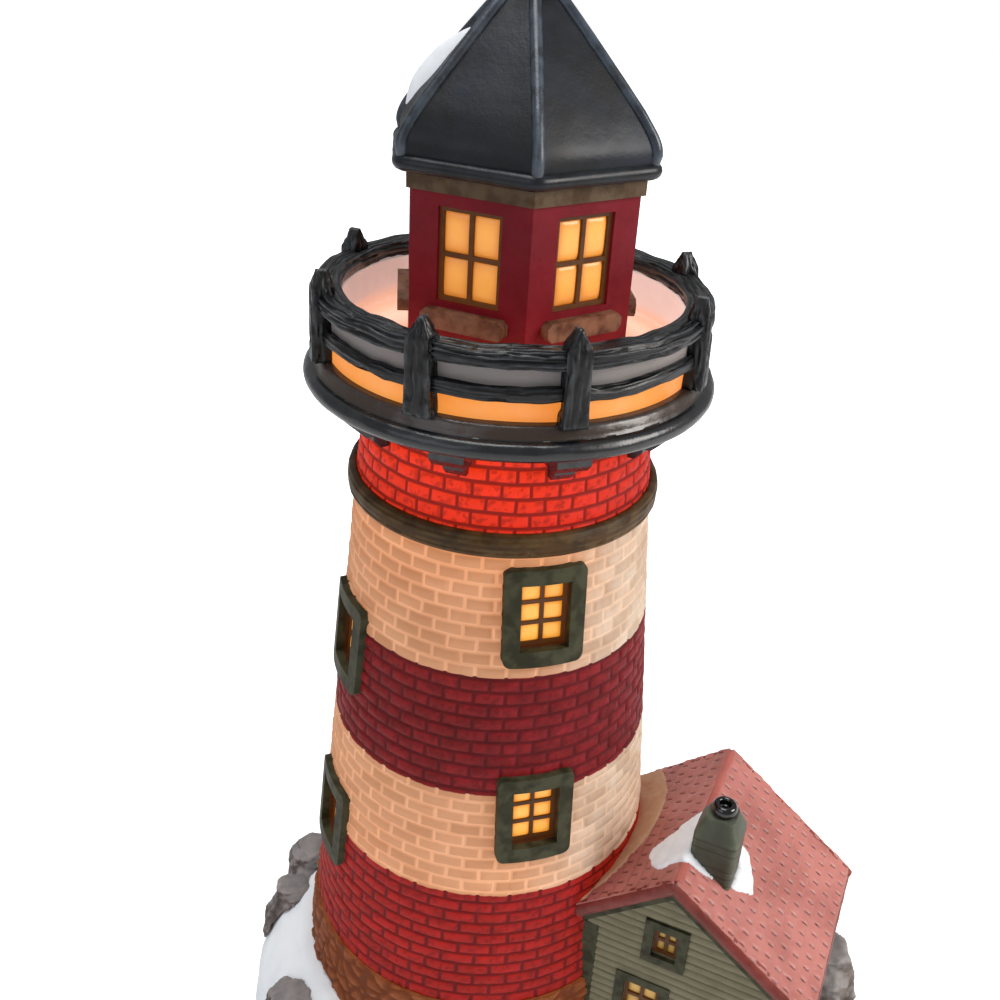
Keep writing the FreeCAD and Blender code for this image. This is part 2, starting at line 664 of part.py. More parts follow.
def build_parapet():
    """Ring wall with a plank fence standing on its outer face: posts over two rails."""
    deck, low, high = dim("deck_top_z"), dim("rail_low_z"), dim("rail_top_z")
    node(plank_ring("parapet", dim("parapet_in_r"), dim("parapet_r"), deck, low),
         "parapet_wall")
    top_rail = plank_ring("top_rail", dim("rail_in_r"), dim("rail_out_r"), low, high)
    mid_rail = plank_ring("mid_rail", dim("parapet_r"), dim("mid_out_r"), dim("mid_low_z"),
                          dim("mid_top_z"))
    half, tip = dim("post_w") / 2, dim("post_tip_w") / 2
    picket = padded("picket", [
        (-half, deck), (half, deck), (half, dim("post_shoulder_z")), (tip, dim("post_tip_z")),
        (-tip, dim("post_tip_z")), (-half, dim("post_shoulder_z"))], dim("post_r"))
    inside = cylinder("inside_fence", dim("parapet_r"), deck - 1, dim("post_tip_z") + 1)
    post = cut("post", picket, [inside, top_rail, mid_rail])
    azimuths = [dim(f"post_az_{number}") for number in range(1, 9)]
    node(ring_of("posts", post, azimuths), "fence_posts")
    node(grouped("top_rail_placed", [top_rail]), "fence_top_rail")
    node(grouped("mid_rail_placed", [mid_rail]), "fence_mid_rail")


# ---------------------------------------------------------------- lantern room
SIXTHS = [sized(60 * index) for index in range(6)]
HEX_FLAT = math.cos(math.radians(30))


def lantern_turn():
    """Brings a corner of the six-sided pieces to its azimuth."""
    return dim("lantern_az") - 90


def build_lantern_room():
    """Six walls with a barred window in each, a sill below it and a cornice on top."""
    low, high = dim("deck_top_z"), dim("cornice_z")
    face = dim("lantern_r") * HEX_FLAT
    outer = prism("lantern_outer", dim("lantern_r"), low, high, 0)
    inner = prism("lantern_inner", dim("lantern_r") - dim("lantern_wall") / HEX_FLAT, low - 1,
                  high + 1, 0)
    half = dim("lwin_w") / 2
    win_low, win_high = dim("lwin_low_z"), dim("lwin_top_z")
    hole = box("lantern_hole", (-half, half), (-face - 1, dim("lantern_wall") + 1 - face),
               (win_low, win_high))
    walls = cut("lantern_walls", outer, [inner, ring_of("lantern_holes", hole, SIXTHS)])
    node(walls, "lantern_room", turn=lantern_turn())
    middle = (win_low + win_high) / 2
    front = dim("lwin_recess") - face
    bars = put(grille("lantern_grille", dim("lwin_w"), win_high - win_low, 2, 2,
                      dim("lwin_frame"), dim("bar_deep")), 0, front, middle)
    pane = box("lantern_pane", (-half, half), (front + dim("bar_deep"),
                                               front + dim("bar_deep") + dim("pane")),
               (win_low, win_high))
    sill_half = dim("sill_w") / 2
    sill_top = win_low - dim("sill_drop")
    sill = put(padded("lantern_sill", bevelled(
        -sill_half, sill_half, sill_top - dim("sill_tall"), sill_top,
        dim("sill_bevel")), dim("sill_out")), 0, -face)
    for thing, label in ((bars, "lantern_window_bars"), (pane, "lantern_panes"),
                         (sill, "lantern_sills")):
        node(ring_of(f"{label}_ring", thing, SIXTHS), label, turn=lantern_turn())
    band = cut("cornice", prism("cornice_outer", dim("cornice_r"), high, dim("eave_z"), 0),
               [prism("cornice_inner", dim("cornice_in_r"), high - 1, dim("eave_z") + 1, 0)])
    node(band, "lantern_cornice", turn=lantern_turn())


HIP_STATIONS = range(1, 6)


def bell_body(name, spread, stations=HIP_STATIONS):
    """The bell-shaped six-sided body of the roof, spread outwards by an amount."""
    rings = [corner_ring(6, dim("eave_r") + spread, dim("eave_z"))]
    for number in stations:
        rings.append(corner_ring(6, dim(f"hip_r_{number}") + spread, dim(f"hip_z_{number}")))
    return faceted(name, rings)


def rolled_bar(route, radius, across):
    """An eight-sided bar along straight runs, mitred where they meet."""
    upward = (route[1] - route[0]).normalize().cross(across)
    corners = []
    for index in range(8):
        angle = math.radians(45 * index + 22.5)
        corners.append(route[0] + across * (radius * math.cos(angle))
                       + upward * (radius * math.sin(angle)))
    profile = Part.makePolygon(corners + corners[:1])
    mitred = 1
    return Part.makePolygon(route).makePipeShell([profile], True, False, mitred)


def hip_ribs():
    """Ribs down the six hips, and the rolled bead round the eave."""
    up, centre = FreeCAD.Vector(0, 0, 1), FreeCAD.Vector(0, 0, 0)
    eave = FreeCAD.Vector(DRIVING["eave_r"], 0, DRIVING["eave_z"] + DRIVING["eave_wire"])
    hips = [FreeCAD.Vector(DRIVING[f"hip_r_{number}"], 0, DRIVING[f"hip_z_{number}"])
            for number in HIP_STATIONS]
    rib = rolled_bar([eave] + hips, DRIVING["hip_wire"], FreeCAD.Vector(0, 1, 0))
    corners = [FreeCAD.Rotation(up, 60 * index).multVec(eave) for index in range(6)]
    start = (corners[0] + corners[5]) * 0.5
    bead = rolled_bar([start] + corners + [start], DRIVING["eave_wire"], up)
    ribs = []
    for index in range(6):
        ribs.append(rib.copy())
        ribs[index].rotate(centre, up, 60 * index)
    feature = DOC.addObject("Part::Feature", "hips_and_eave")
    feature.Shape = bead.multiFuse(ribs)
    return feature


def build_roof():
    """Hollow bell roof with ribbed hips, a cap where they meet and a drift of snow."""
    bell = bell_body("bell", 0)
    skinned = cut("bell_shell", bell, [bell_body("bell_hollow", dim("roof_thick") * -1.6,
                                                 range(1, 5))])
    low, top, ball, middle = dim("cap_low_z"), dim("cap_top_z"), dim("ball_r"), dim("ball_z")
    above = cylinder("above_cap", dim("eave_r"), low, middle)
    roof = cut("roof_cast", joined("roof_whole", [skinned, hip_ribs()]), [above])
    node(grouped("roof_placed", [roof]), "lantern_roof", turn=lantern_turn())
    profile = [(dim("cap_r"), low), (dim("cap_r"), low + 1.2), (dim("cap_r") * 0.7, top - 0.9),
               (ball * 0.5, top), (ball, middle - ball * 0.4), (ball, middle + ball * 0.4),
               (ball * 0.5, middle + ball)]
    finial = faceted("finial", [corner_ring(DRIVING["finial_sides"], radius, height)
                                for radius, height in profile])
    node(grouped("finial_placed", [finial]), "roof_finial")
    half, low, top = dim("drift_w") / 2, dim("drift_low_z"), dim("drift_top_z")
    patch = padded("drift_patch", [
        (-half * 0.7, low), (half * 0.9, low, half * 1.4), (half * 0.7, (low + top) / 2),
        (half * 0.25, top, half * 0.8), (-half * 0.3, top), (-half * 0.8, (low + top) / 2,
                                                             half * 1.6)], dim("eave_r"))
    drift = overlap("drift", [patch, bell_body("drift_bell", dim("drift_thick"))])
    node(cut("drift_laid", drift, [bell, roof]), "roof_snow", turn=lantern_turn())


# ---------------------------------------------------------------- keeper's cottage
def gable_outline(left, right):
    """Cottage cross-section between two walls, up to the underside of its roof."""
    floor = dim("yard_z")
    return [(left, floor), (right, floor), (right, roof_underside(right)),
            (0, dim("ridge_z") - dim("slab")), (left, roof_underside(left))]


def chevron(left, right, lower, upper):
    """A band that follows both roof slopes, between two heights above their outer faces."""
    return [(left, roof_top(left) + lower), (0, dim("ridge_z") + lower),
            (right, roof_top(right) + lower), (right, roof_top(right) + upper),
            (0, dim("ridge_z") + upper), (left, roof_top(left) + upper)]


def along_ridge(name, corners, front, back):
    """A piece of one cross-section that runs back along the ridge."""
    return put(padded(name, corners, back - front, reversed_way=True), 0, front)


COTTAGE_WINDOWS = {
    "attic": ("attic_u", "attic_z", "attic_w", "attic_tall"),
    "low_left": ("low_left_u", "low_z", "low_w", "low_tall"),
    "low_right": ("low_right_u", "low_z", "low_w", "low_tall"),
}


def framed_window(name, width, tall):
    """Opening tool, trim, bars and pane about the origin, in a wall whose face is y = 0."""
    half_w, half_tall = width / 2, tall / 2
    trim = dim("trim")
    hole = box(f"{name}_hole", (-half_w, half_w), (sized(-3), dim("house_wall") + 1),
               (-half_tall, half_tall))
    blank = box(f"{name}_trim_blank", (-half_w - trim, half_w + trim), (-dim("trim_proud"),
                                                                      sized(0)),
                (-half_tall - trim, half_tall + trim))
    bars = put(grille(f"{name}_grille", width, tall, 2, 2, dim("lwin_frame"), dim("bar_deep")),
               0, dim("cottage_recess"))
    back = dim("cottage_recess") + dim("bar_deep")
    pane = box(f"{name}_pane", (-half_w, half_w), (back, back + dim("pane")),
               (-half_tall, half_tall))
    return hole, cut(f"{name}_trim", blank, [hole]), bars, pane


def build_cottage():
    """Clapboard walls, windows and boards, all stopped where the tower passes through."""
    left, right = dim("house_left"), dim("house_right")
    front, back, wall = dim("house_front"), dim("house_back"), dim("house_wall")
    block = along_ridge("cottage_block", gable_outline(left, right), front, back)
    rooms = along_ridge("cottage_rooms", gable_outline(left + wall, right - wall),
                        front + wall, back - wall)
    keepout = [TOWER_BY_COTTAGE, MOUND_BY_COTTAGE]
    holes, trims, bars, panes = [], [], [], []
    spots = [(key, dim(u), front, dim(z), dim(w), dim(tall), 0)
             for key, (u, z, w, tall) in COTTAGE_WINDOWS.items()]
    spots.append(("side", right, dim("side_v"), dim("side_z"), dim("low_w"), dim("low_tall"), 90))
    spots.append(("rear", dim("attic_u"), back, dim("attic_z"), dim("attic_w"),
                  dim("attic_tall"), 180))
    for key, u, v, z, width, tall, facing in spots:
        for bucket, thing in zip((holes, trims, bars, panes),
                                 framed_window(f"cottage_{key}", width, tall)):
            bucket.append(put(grouped(f"{thing.Name}_set", [thing]), u, v, z, facing))
    walls = cut("cottage_shell", block, [rooms] + holes + keepout)
    node(walls, "cottage_walls", on_cottage=True)
    for bucket, label in ((trims, "cottage_window_frames"), (bars, "cottage_window_bars"),
                          (panes, "cottage_window_panes")):
        node(grouped(label, bucket), label, on_cottage=True)
    build_boards(block, keepout)


def build_boards(block, keepout):
    """Corner boards up the walls, and rake boards under the roof's edge on each gable."""
    proud, width, rake = dim("board_proud"), dim("board_w"), dim("rake_w")
    left, right = dim("house_left"), dim("house_right")
    front, back = dim("house_front"), dim("house_back")
    boards = []
    for side, u_span in (("left", (left - proud, left + width)),
                         ("right", (right - width, right + proud))):
        outermost = u_span[0] if side == "left" else u_span[1]
        top = roof_underside(outermost) - rake
        for end, v_span in (("front", (front - proud, front + width)),
                            ("back", (back - width, back + proud))):
            board = box(f"board_{side}_{end}", u_span, v_span, (dim("yard_z"), top))
            boards.append(cut(f"board_{side}_{end}_set", board, [block] + keepout))
    node(grouped("boards", boards), "corner_boards", on_cottage=True)
    slab = dim("slab")
    band = chevron(dim("left_eave_u") + 1, dim("eave_u") - 1, -slab - rake, -slab)
    rakes = []
    for end, start in (("front", front - proud), ("back", back)):
        strip = along_ridge(f"rake_{end}", band, start, start + proud)
        rakes.append(cut(f"rake_{end}_set", strip, keepout))
    node(grouped("rakes", rakes), "rake_boards", on_cottage=True)


def build_cottage_roof():
    """Two shingled slopes, the flashing beside the tower, and the snowed-in chimney."""
    left, right, length = dim("left_eave_u"), dim("eave_u"), dim("roof_len")
    slopes = along_ridge("slopes", chevron(left, right, -dim("slab"), 0), sized(0), length)
    node(cut("slopes_trimmed", slopes, [TOWER_BY_COTTAGE]), "cottage_roof", on_cottage=True)
    patch = along_ridge("flashing_layer", [
        (left, roof_top(left)), (0, dim("ridge_z")), (0, dim("ridge_z") + dim("flash_thick")),
        (left, roof_top(left) + dim("flash_thick"))], sized(0.4), length - 0.4)
    disc = cylinder("flashing_disc", dim("flash_r"), dim("yard_z"), dim("ridge_z") + 9,
                    dim("flash_u"), dim("flash_v"))
    node(cut("flashing", overlap("flashing_blank", [patch, disc]), [TOWER_BY_COTTAGE]),
         "valley_flashing", on_cottage=True)
    below = along_ridge("below_roof", [
        (left, dim("yard_z")), (right, dim("yard_z")), (right, roof_top(right)),
        (0, dim("ridge_z")), (left, roof_top(left))], sized(0), length)
    stations = [("chim_w", "chim_foot_z"), ("chim_w", "chim_shoulder_z"),
                ("chim_top_w", "chim_top_z")]
    stack = put(grouped("stack", [faceted("stack_blank", [
        corner_ring(4, dim(width) / math.sqrt(2), dim(height), turn=45)
        for width, height in stations])]), dim("chim_u"), dim("chim_v"))
    node(cut("stack_seated", stack, [below]), "chimney", on_cottage=True)
    low = dim("chim_top_z")
    pot_r, bore, top = dim("pot_r"), dim("pot_bore"), low + dim("pot_tall")
    pot = turned("pot", [(0, low), (pot_r * 0.8, low), (pot_r, (low + top) / 2),
                         (bore + 0.9, top), (bore, top), (bore, low + 1.5), (0, low + 1.5)])
    node(put(grouped("pot_set", [put(grouped("pot_stood", [pot]), dim("chim_u"),
                                     dim("chim_v"))])), "chimney_pot", on_cottage=True)
    layer = along_ridge("snow_layer", chevron(left, right, sized(0), dim("snow_thick")),
                        sized(0), length)
    reach = dim("chim_w")
    u, v = dim("chim_u"), dim("chim_v")
    drift = padded("snow_plan", [
        (u - reach * 0.1, v - reach * 0.62, reach * 3), (u + reach * 0.95, v + 1),
        (u + reach * 0.62, v + reach * 0.9, reach * 1.2), (u - reach * 0.6, v + reach * 0.85),
        (u - reach * 1.35, v - 1, reach * 0.7), (u - reach * 0.95, v - reach * 0.85)],
        dim("ridge_z") + 9, "XY_Plane")
    node(cut("snow_laid", overlap("snow_blank", [layer, drift]), [stack]), "chimney_snow",
         on_cottage=True)


# ---------------------------------------------------------------- lift-out lamp unit
def build_closure():
    """Disc that closes the base from below, with a neck in the hole and the cord's inlet."""
    seat = dim("cup_floor_z")
    neck = dim("lamp_hole_r") - dim("neck_gap")
    disc = turned("closure", [
        (0, seat - dim("flange")), (dim("flange_r"), seat - dim("flange")),
        (dim("flange_r"), seat), (neck, seat), (neck, dim("neck_top_z")),
        (neck - dim("neck_wall"), dim("neck_top_z")), (neck - dim("neck_wall"), seat), (0, seat)])
    inlet = cylinder("cord_inlet", dim("cord_hole_r"), seat - dim("flange") - 1, seat + 1,
                     0, dim("cord_hole_y"))
    node(cut("closure_drilled", disc, [inlet]), "closure_disc")
    leg, out, tip = dim("clip_leg_r"), dim("clip_out_r"), dim("clip_top_r")
    thick = dim("clip_thick")
    bend, widest, top = dim("clip_bend_z"), dim("clip_out_z"), dim("clip_top_z")
    wing = padded("wing", [(leg - thick, seat), (leg, seat), (leg, bend), (out, widest),
                           (tip, top), (tip - thick, top), (out - thick * 1.1, widest),
                           (leg - thick, bend)], dim("clip_w"), middle=True)
    node(ring_of("wings", wing, [sized(0), sized(180)]), "spring_clips")


def build_holder(place, x, low):
    """A candelabra lampholder: foot, shell and the bore that the bulb screws into."""
    bore = dim("screw_r") + dim("screw_gap")
    holder = turned(f"{place}_holder", [
        (0, low), (dim("holder_foot_r"), low), (dim("holder_foot_r"), low + dim("holder_foot")),
        (dim("holder_r"), low + dim("holder_foot")),
        (dim("holder_r"), low + dim("holder_tall")), (bore, low + dim("holder_tall")),
        (bore, low + dim("holder_floor")), (0, low + dim("holder_floor"))])
    return put(grouped(f"{place}_holder_set", [holder]), x)


def build_bulb(place, x, low):
    """A small screw-in bulb: contact tip and screw cap, with a torpedo-shaped glass."""
    floor = low + dim("holder_floor")
    cap_low = floor + dim("tip_tall")
    cap_top = cap_low + dim("cap_tall")
    cap = turned(f"{place}_cap", [
        (0, floor), (dim("tip_r"), floor), (dim("tip_r"), cap_low), (dim("screw_r"), cap_low),
        (dim("screw_r"), cap_top), (0, cap_top)])
    shoulder, wide = cap_top + dim("glass_neck"), cap_top + dim("glass_wide_at")
    top, neck, widest = cap_top + dim("glass_tall"), dim("glass_neck_r"), dim("glass_r")
    profile = [(neck, cap_top), (neck, shoulder), (widest * 0.9, (shoulder + wide) / 2),
               (widest, wide), (widest * 0.9, wide + (top - wide) * 0.3),
               (widest * 0.6, wide + (top - wide) * 0.65), (dim("glass_tip_r"), top)]
    glass = faceted(f"{place}_glass", [corner_ring(DRIVING["glass_sides"], radius, height)
                                       for radius, height in profile])
    for thing, label in ((cap, "bulb_cap"), (glass, "bulb_glass")):
        node(grouped(f"{place}_{label}", [put(thing, x)]), f"{place}_{label}")


def build_lamp_unit():
    """Riser tube with an upper and a lower lampholder, and the bulbs in them."""
    seat = dim("cup_floor_z")
    riser_x, lower_x, upper_z = dim("riser_x"), dim("lower_x"), dim("upper_holder_z")
    rod = cylinder("riser_rod", dim("riser_r"), seat, upper_z, riser_x)
    bore = cylinder("riser_hole", dim("riser_bore"), seat - 1, upper_z + 1, riser_x)
    node(cut("riser", rod, [bore]), "riser_tube")
    lower = build_holder("lower", lower_x, seat)
    upper = build_holder("upper", riser_x, upper_z)
    half = dim("yoke_w") / 2
    strap = box("strap", (riser_x, lower_x), (-half, half),
                (dim("yoke_z"), dim("yoke_z") + dim("yoke_thick")))
    body = cylinder("holder_body", dim("holder_r"), seat, dim("upper_holder_z"), lower_x)
    node(cut("yoke", strap, [rod, body]), "lampholder_strap")
    node(grouped("lower_placed", [lower]), "lower_lampholder")
    node(grouped("upper_placed", [upper]), "upper_lampholder")
    build_bulb("lower", lower_x, seat)
    build_bulb("upper", riser_x, upper_z)


def write_parts():
    """Checks every object, then writes one file for each sub-part."""
    DOC.recompute()
    for thing in DOC.Objects:
        if "Invalid" in thing.State or "Error" in thing.State:
            raise RuntimeError(f"{thing.Name} ({thing.Label}): {thing.State}")
    os.makedirs("parts", exist_ok=True)
    for thing in NODES:
        if thing.Shape.isNull() or not thing.Shape.isValid() or not thing.Shape.Solids:
            raise RuntimeError(f"{thing.Label} has no sound solid")
        thing.Shape.exportStep(f"parts/{thing.Label}.step")
        solids = thing.Shape.Solids
        volume = sum(solid.Volume for solid in solids) / 1000
        print(f"{thing.Label}: {len(solids)} solid(s), {volume:.2f} cm3")
    whole = Part.makeCompound([thing.Shape for thing in NODES]).BoundBox
    print(f"{len(NODES)} nodes; x {whole.XMin:.2f} to {whole.XMax:.2f}, "
          f"y {whole.YMin:.2f} to {whole.YMax:.2f}, z {whole.ZMin:.2f} to {whole.ZMax:.2f}")


def main():
    build_base()
    build_rocks()
    build_footing()
    placed_windows()
    build_ring_moulding()
    build_deck()
    build_corbels()
    build_parapet()
    build_lantern_room()
    build_roof()
    build_cottage()
    build_cottage_roof()
    build_closure()
    build_lamp_unit()
    write_parts()


main()
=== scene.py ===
"""The look of a lighted porcelain lighthouse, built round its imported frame.

Pieces are shaped in millimetres and written in metres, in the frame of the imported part.
Azimuths round the tower count from the front, -Y, towards +X.  The cottage has axes of its
own: u runs right along its front wall, v runs back along the ridge.
"""
import logging
import math
import random
from collections.abc import Callable, Sequence
from dataclasses import dataclass
from enum import Enum

import bmesh
import bpy
from mathutils import Matrix, Vector, noise


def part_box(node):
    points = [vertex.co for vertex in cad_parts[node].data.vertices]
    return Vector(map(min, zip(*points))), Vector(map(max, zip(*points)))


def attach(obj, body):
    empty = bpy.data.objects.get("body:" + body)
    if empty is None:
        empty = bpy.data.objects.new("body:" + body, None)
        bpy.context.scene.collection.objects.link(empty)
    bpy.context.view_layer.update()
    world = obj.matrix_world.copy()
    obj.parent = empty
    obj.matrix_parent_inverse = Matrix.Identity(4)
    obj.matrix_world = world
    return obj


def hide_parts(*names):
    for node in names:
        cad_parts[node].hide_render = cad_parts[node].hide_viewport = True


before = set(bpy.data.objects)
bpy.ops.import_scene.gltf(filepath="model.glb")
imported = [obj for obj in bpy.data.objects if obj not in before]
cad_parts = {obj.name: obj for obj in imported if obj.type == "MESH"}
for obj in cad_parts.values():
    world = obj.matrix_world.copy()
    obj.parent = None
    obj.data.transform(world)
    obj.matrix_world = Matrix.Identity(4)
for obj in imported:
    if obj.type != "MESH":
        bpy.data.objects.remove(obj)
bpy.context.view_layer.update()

LOG = logging.getLogger("lighthouse")
MM = 0.001
FULL = 2 * math.pi
LEAN = math.radians(5.137)  # how far the shaft's wall leans in


def centre_of(node: str) -> Vector:
    """Middle of a node's box in millimetres, on the table."""
    low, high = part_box(node)
    return Vector(((low[0] + high[0]) / 2, (low[1] + high[1]) / 2, 0)) / MM


TOWER = centre_of("parapet_wall")


def round_tower(radius: float, azimuth: float, height: float) -> Vector:
    """A point by its distance from the tower's axis, its azimuth in radians and its height."""
    return TOWER + Vector((radius * math.sin(azimuth), -radius * math.cos(azimuth), height))


# ---------------------------------------------------------------- shaders
Feed = float | tuple[float, ...] | bpy.types.NodeSocket


class Blend(Enum):
    """Ways in which two colours are put together."""

    MIX = "MIX"
    MULTIPLY = "MULTIPLY"


class Recipe:
    """Short calls that fill a node tree."""

    def __init__(self, tree: bpy.types.NodeTree) -> None:
        """Starts on a tree.

        Args:
            tree: The material's tree or a group's.
        """
        self.tree = tree

    def feed(self, socket: bpy.types.NodeSocket, value: Feed) -> None:
        """Links a socket to another, or sets its value."""
        if isinstance(value, bpy.types.NodeSocket):
            self.tree.links.new(value, socket)
        else:
            socket.default_value = value

    def node(self, kind: str, feeds: dict[str | int, Feed] | None = None,
             **settings: object) -> bpy.types.Node:
        """Adds a node.

        Args:
            kind: The node's class name, without its ShaderNode prefix.
            feeds: What goes into its sockets, by name or number.
            settings: The node's own settings.

        Returns:
            The node.
        """
        made = self.tree.nodes.new("ShaderNode" + kind)
        for name, value in settings.items():
            setattr(made, name, value)
        for key, value in (feeds or {}).items():
            self.feed(made.inputs[key], value)
        return made

    def sum(self, operation: str, *values: Feed) -> bpy.types.NodeSocket:
        """Result of one arithmetic node."""
        made = self.node("Math", dict(enumerate(values)), operation=operation)
        return made.outputs[0]

    def times(self, first: Feed, second: Feed) -> bpy.types.NodeSocket:
        """Product of two values."""
        return self.sum("MULTIPLY", first, second)

    def spread(self, value: Feed, low: float, high: float, to_low: float = 0.0,
               to_high: float = 1.0) -> bpy.types.NodeSocket:
        """A value carried smoothly from one range to another, and held inside it."""
        made = self.node("MapRange", {0: value, 1: low, 2: high, 3: to_low, 4: to_high},
                         interpolation_type="SMOOTHSTEP")
        return made.outputs[0]

    def mix(self, factor: Feed, first: Feed, second: Feed,
            blend: Blend = Blend.MIX) -> bpy.types.NodeSocket:
        """Two colours put together."""
        made = self.node("Mix", {0: factor, 6: first, 7: second}, data_type="RGBA",
                         blend_type=blend.value)
        return made.outputs[2]

    def shaded(self, color: Feed, value: Feed) -> bpy.types.NodeSocket:
        """A colour made lighter or darker by a value."""
        grey = self.node("CombineColor", {0: value, 1: value, 2: value}).outputs[0]
        return self.mix(1.0, color, grey, Blend.MULTIPLY)

    def place(self) -> bpy.types.NodeSocket:
        """The point's place in the part's frame, in metres."""
        return self.node("TexCoord").outputs["Object"]

    def coordinate(self, axis: str) -> bpy.types.NodeSocket:
        """The point's place along X, Y or Z, in metres."""
        return self.node("SeparateXYZ", {0: self.place()}).outputs[axis]

    def speckle(self, scale: Feed, detail: float = 2.0) -> bpy.types.NodeSocket:
        """Noise from 0 to 1 with so many grains to the metre."""
        return self.node("TexNoise", {"Vector": self.place(), "Scale": scale,
                                      "Detail": detail}).outputs[0]

    def stir(self, scale: float, detail: float, amount: float) -> bpy.types.NodeSocket:
        """Noise to both sides of 0, by half an amount at most."""
        return self.times(self.sum("SUBTRACT", self.speckle(scale, detail), 0.5), amount)

    def mask(self, name: str) -> bpy.types.NodeSocket:
        """A mask painted on the mesh."""
        return self.node("Attribute", attribute_name=name).outputs["Fac"]


def tint(code: str) -> tuple[float, float, float, float]:
    """Linear opaque colour of a six-digit code.

    Args:
        code: Red, green and blue as hexadecimal pairs.

    Returns:
        The colour as the shader wants it.
    """
    channels = [int(code[place:place + 2], 16) / 255 for place in (0, 2, 4)]
    red, green, blue = (value / 12.92 if value <= 0.04045 else ((value + 0.055) / 1.055) ** 2.4
                        for value in channels)
    return red, green, blue, 1.0


@dataclass(frozen=True)
class Port:
    """One named input or output of an effect."""

    name: str
    kind: str = "NodeSocketFloat"
    value: Feed | None = None


COLOR, PLACE = "NodeSocketColor", "NodeSocketVector"


class Effect:
    """A shader node group that several finishes share."""

    made: dict[str, bpy.types.NodeTree] = {}

    def __init__(self, name: str, ports: Sequence[Port], result: Port,
                 fill: Callable[[Recipe, bpy.types.Node], bpy.types.NodeSocket]) -> None:
        """Describes the group; it is built when first placed.

        Args:
            name: The group's name.
            ports: Its inputs.
            result: Its one output.
            fill: Builds the inside and returns the socket that the output takes.
        """
        self.name, self.ports, self.result, self.fill = name, ports, result, fill

    def tree(self) -> bpy.types.NodeTree:
        """The group's tree, built once."""
        if self.name in Effect.made:
            return Effect.made[self.name]
        tree = bpy.data.node_groups.new(self.name, "ShaderNodeTree")
        for port in self.ports:
            socket = tree.interface.new_socket(name=port.name, in_out="INPUT",
                                               socket_type=port.kind)
            if port.value is not None:
                socket.default_value = port.value
        tree.interface.new_socket(name=self.result.name, in_out="OUTPUT",
                                  socket_type=self.result.kind)
        inside = Recipe(tree)
        entry = tree.nodes.new("NodeGroupInput")
        leave = tree.nodes.new("NodeGroupOutput")
        inside.feed(leave.inputs[0], self.fill(inside, entry))
        Effect.made[self.name] = tree
        return tree

    def use(self, recipe: Recipe, **feeds: Feed) -> bpy.types.NodeSocket:
        """Places the group in a material.

        Args:
            recipe: The material's recipe.
            feeds: What goes into the inputs, with _ for a space.

        Returns:
            The group's output.
        """
        made = recipe.node("Group", node_tree=self.tree())
        for name, value in feeds.items():
            recipe.feed(made.inputs[name.replace("_", " ")], value)
        return made.outputs[0]


def fill_mottle(inside: Recipe, entry: bpy.types.Node) -> bpy.types.NodeSocket:
    """Two paints brushed into each other."""
    blot = inside.node("TexNoise", {"Vector": inside.place(), "Scale": entry.outputs["Scale"],
                                    "Detail": 4.0, "Roughness": 0.62}).outputs[0]
    share = inside.times(inside.spread(blot, 0.36, 0.66), entry.outputs["Amount"])
    return inside.mix(share, entry.outputs["Paint"], entry.outputs["Second"])


def fill_tooth(inside: Recipe, entry: bpy.types.Node) -> bpy.types.NodeSocket:
    """The fine tooth of fired bisque under a brushed coat."""
    fine = inside.node("TexNoise", {"Vector": inside.place(), "Scale": entry.outputs["Scale"],
                                    "Detail": 3.0, "Roughness": 0.7}).outputs[0]
    broad = inside.speckle(inside.times(entry.outputs["Scale"], 0.22))
    return inside.sum("ADD", inside.times(fine, 0.6), inside.times(broad, 0.4))


def fill_wear_and_sheen(inside: Recipe, entry: bpy.types.Node) -> bpy.types.NodeSocket:
    """Where a raised edge is lighter: paint worn off, and a painted highlight."""
    point = inside.node("NewGeometry").outputs["Pointiness"]
    edge = inside.spread(point, 0.505, 0.56)
    patchy = inside.spread(inside.speckle(260.0, 4.0), 0.35, 0.6)
    return inside.times(inside.times(edge, patchy), entry.outputs["Amount"])


def fill_glow(inside: Recipe, entry: bpy.types.Node) -> bpy.types.NodeSocket:
    """Light of the two bulbs as it comes through a thin wall."""
    shares = []
    for name in ("Upper", "Lower"):
        distance = inside.node("VectorMath", {0: inside.place(), 1: entry.outputs[name]},
                               operation="DISTANCE").outputs["Value"]
        ratio = inside.sum("DIVIDE", distance, entry.outputs[f"{name} Reach"])
        fall = inside.sum("DIVIDE", 1.0,
                          inside.sum("ADD", 1.0, inside.sum("POWER", ratio, 4.0)))
        shares.append(inside.times(fall, entry.outputs[f"{name} Power"]))
    light = inside.sum("ADD", inside.sum("ADD", *shares), entry.outputs["Floor"])
    made = inside.node("VectorMath", {0: entry.outputs["Paint"], "Scale": light},
                       operation="SCALE")
    return made.outputs[0]


def fill_dusting(inside: Recipe, entry: bpy.types.Node) -> bpy.types.NodeSocket:
    """Snow that lies on what faces up."""
    normal = inside.node("NewGeometry").outputs["Normal"]
    upward = inside.node("SeparateXYZ", {0: normal}).outputs["Z"]
    lie = inside.sum("ADD", upward, inside.stir(110.0, 5.0, 1.1))
    return inside.times(inside.spread(lie, 0.35, 0.75), entry.outputs["Amount"])


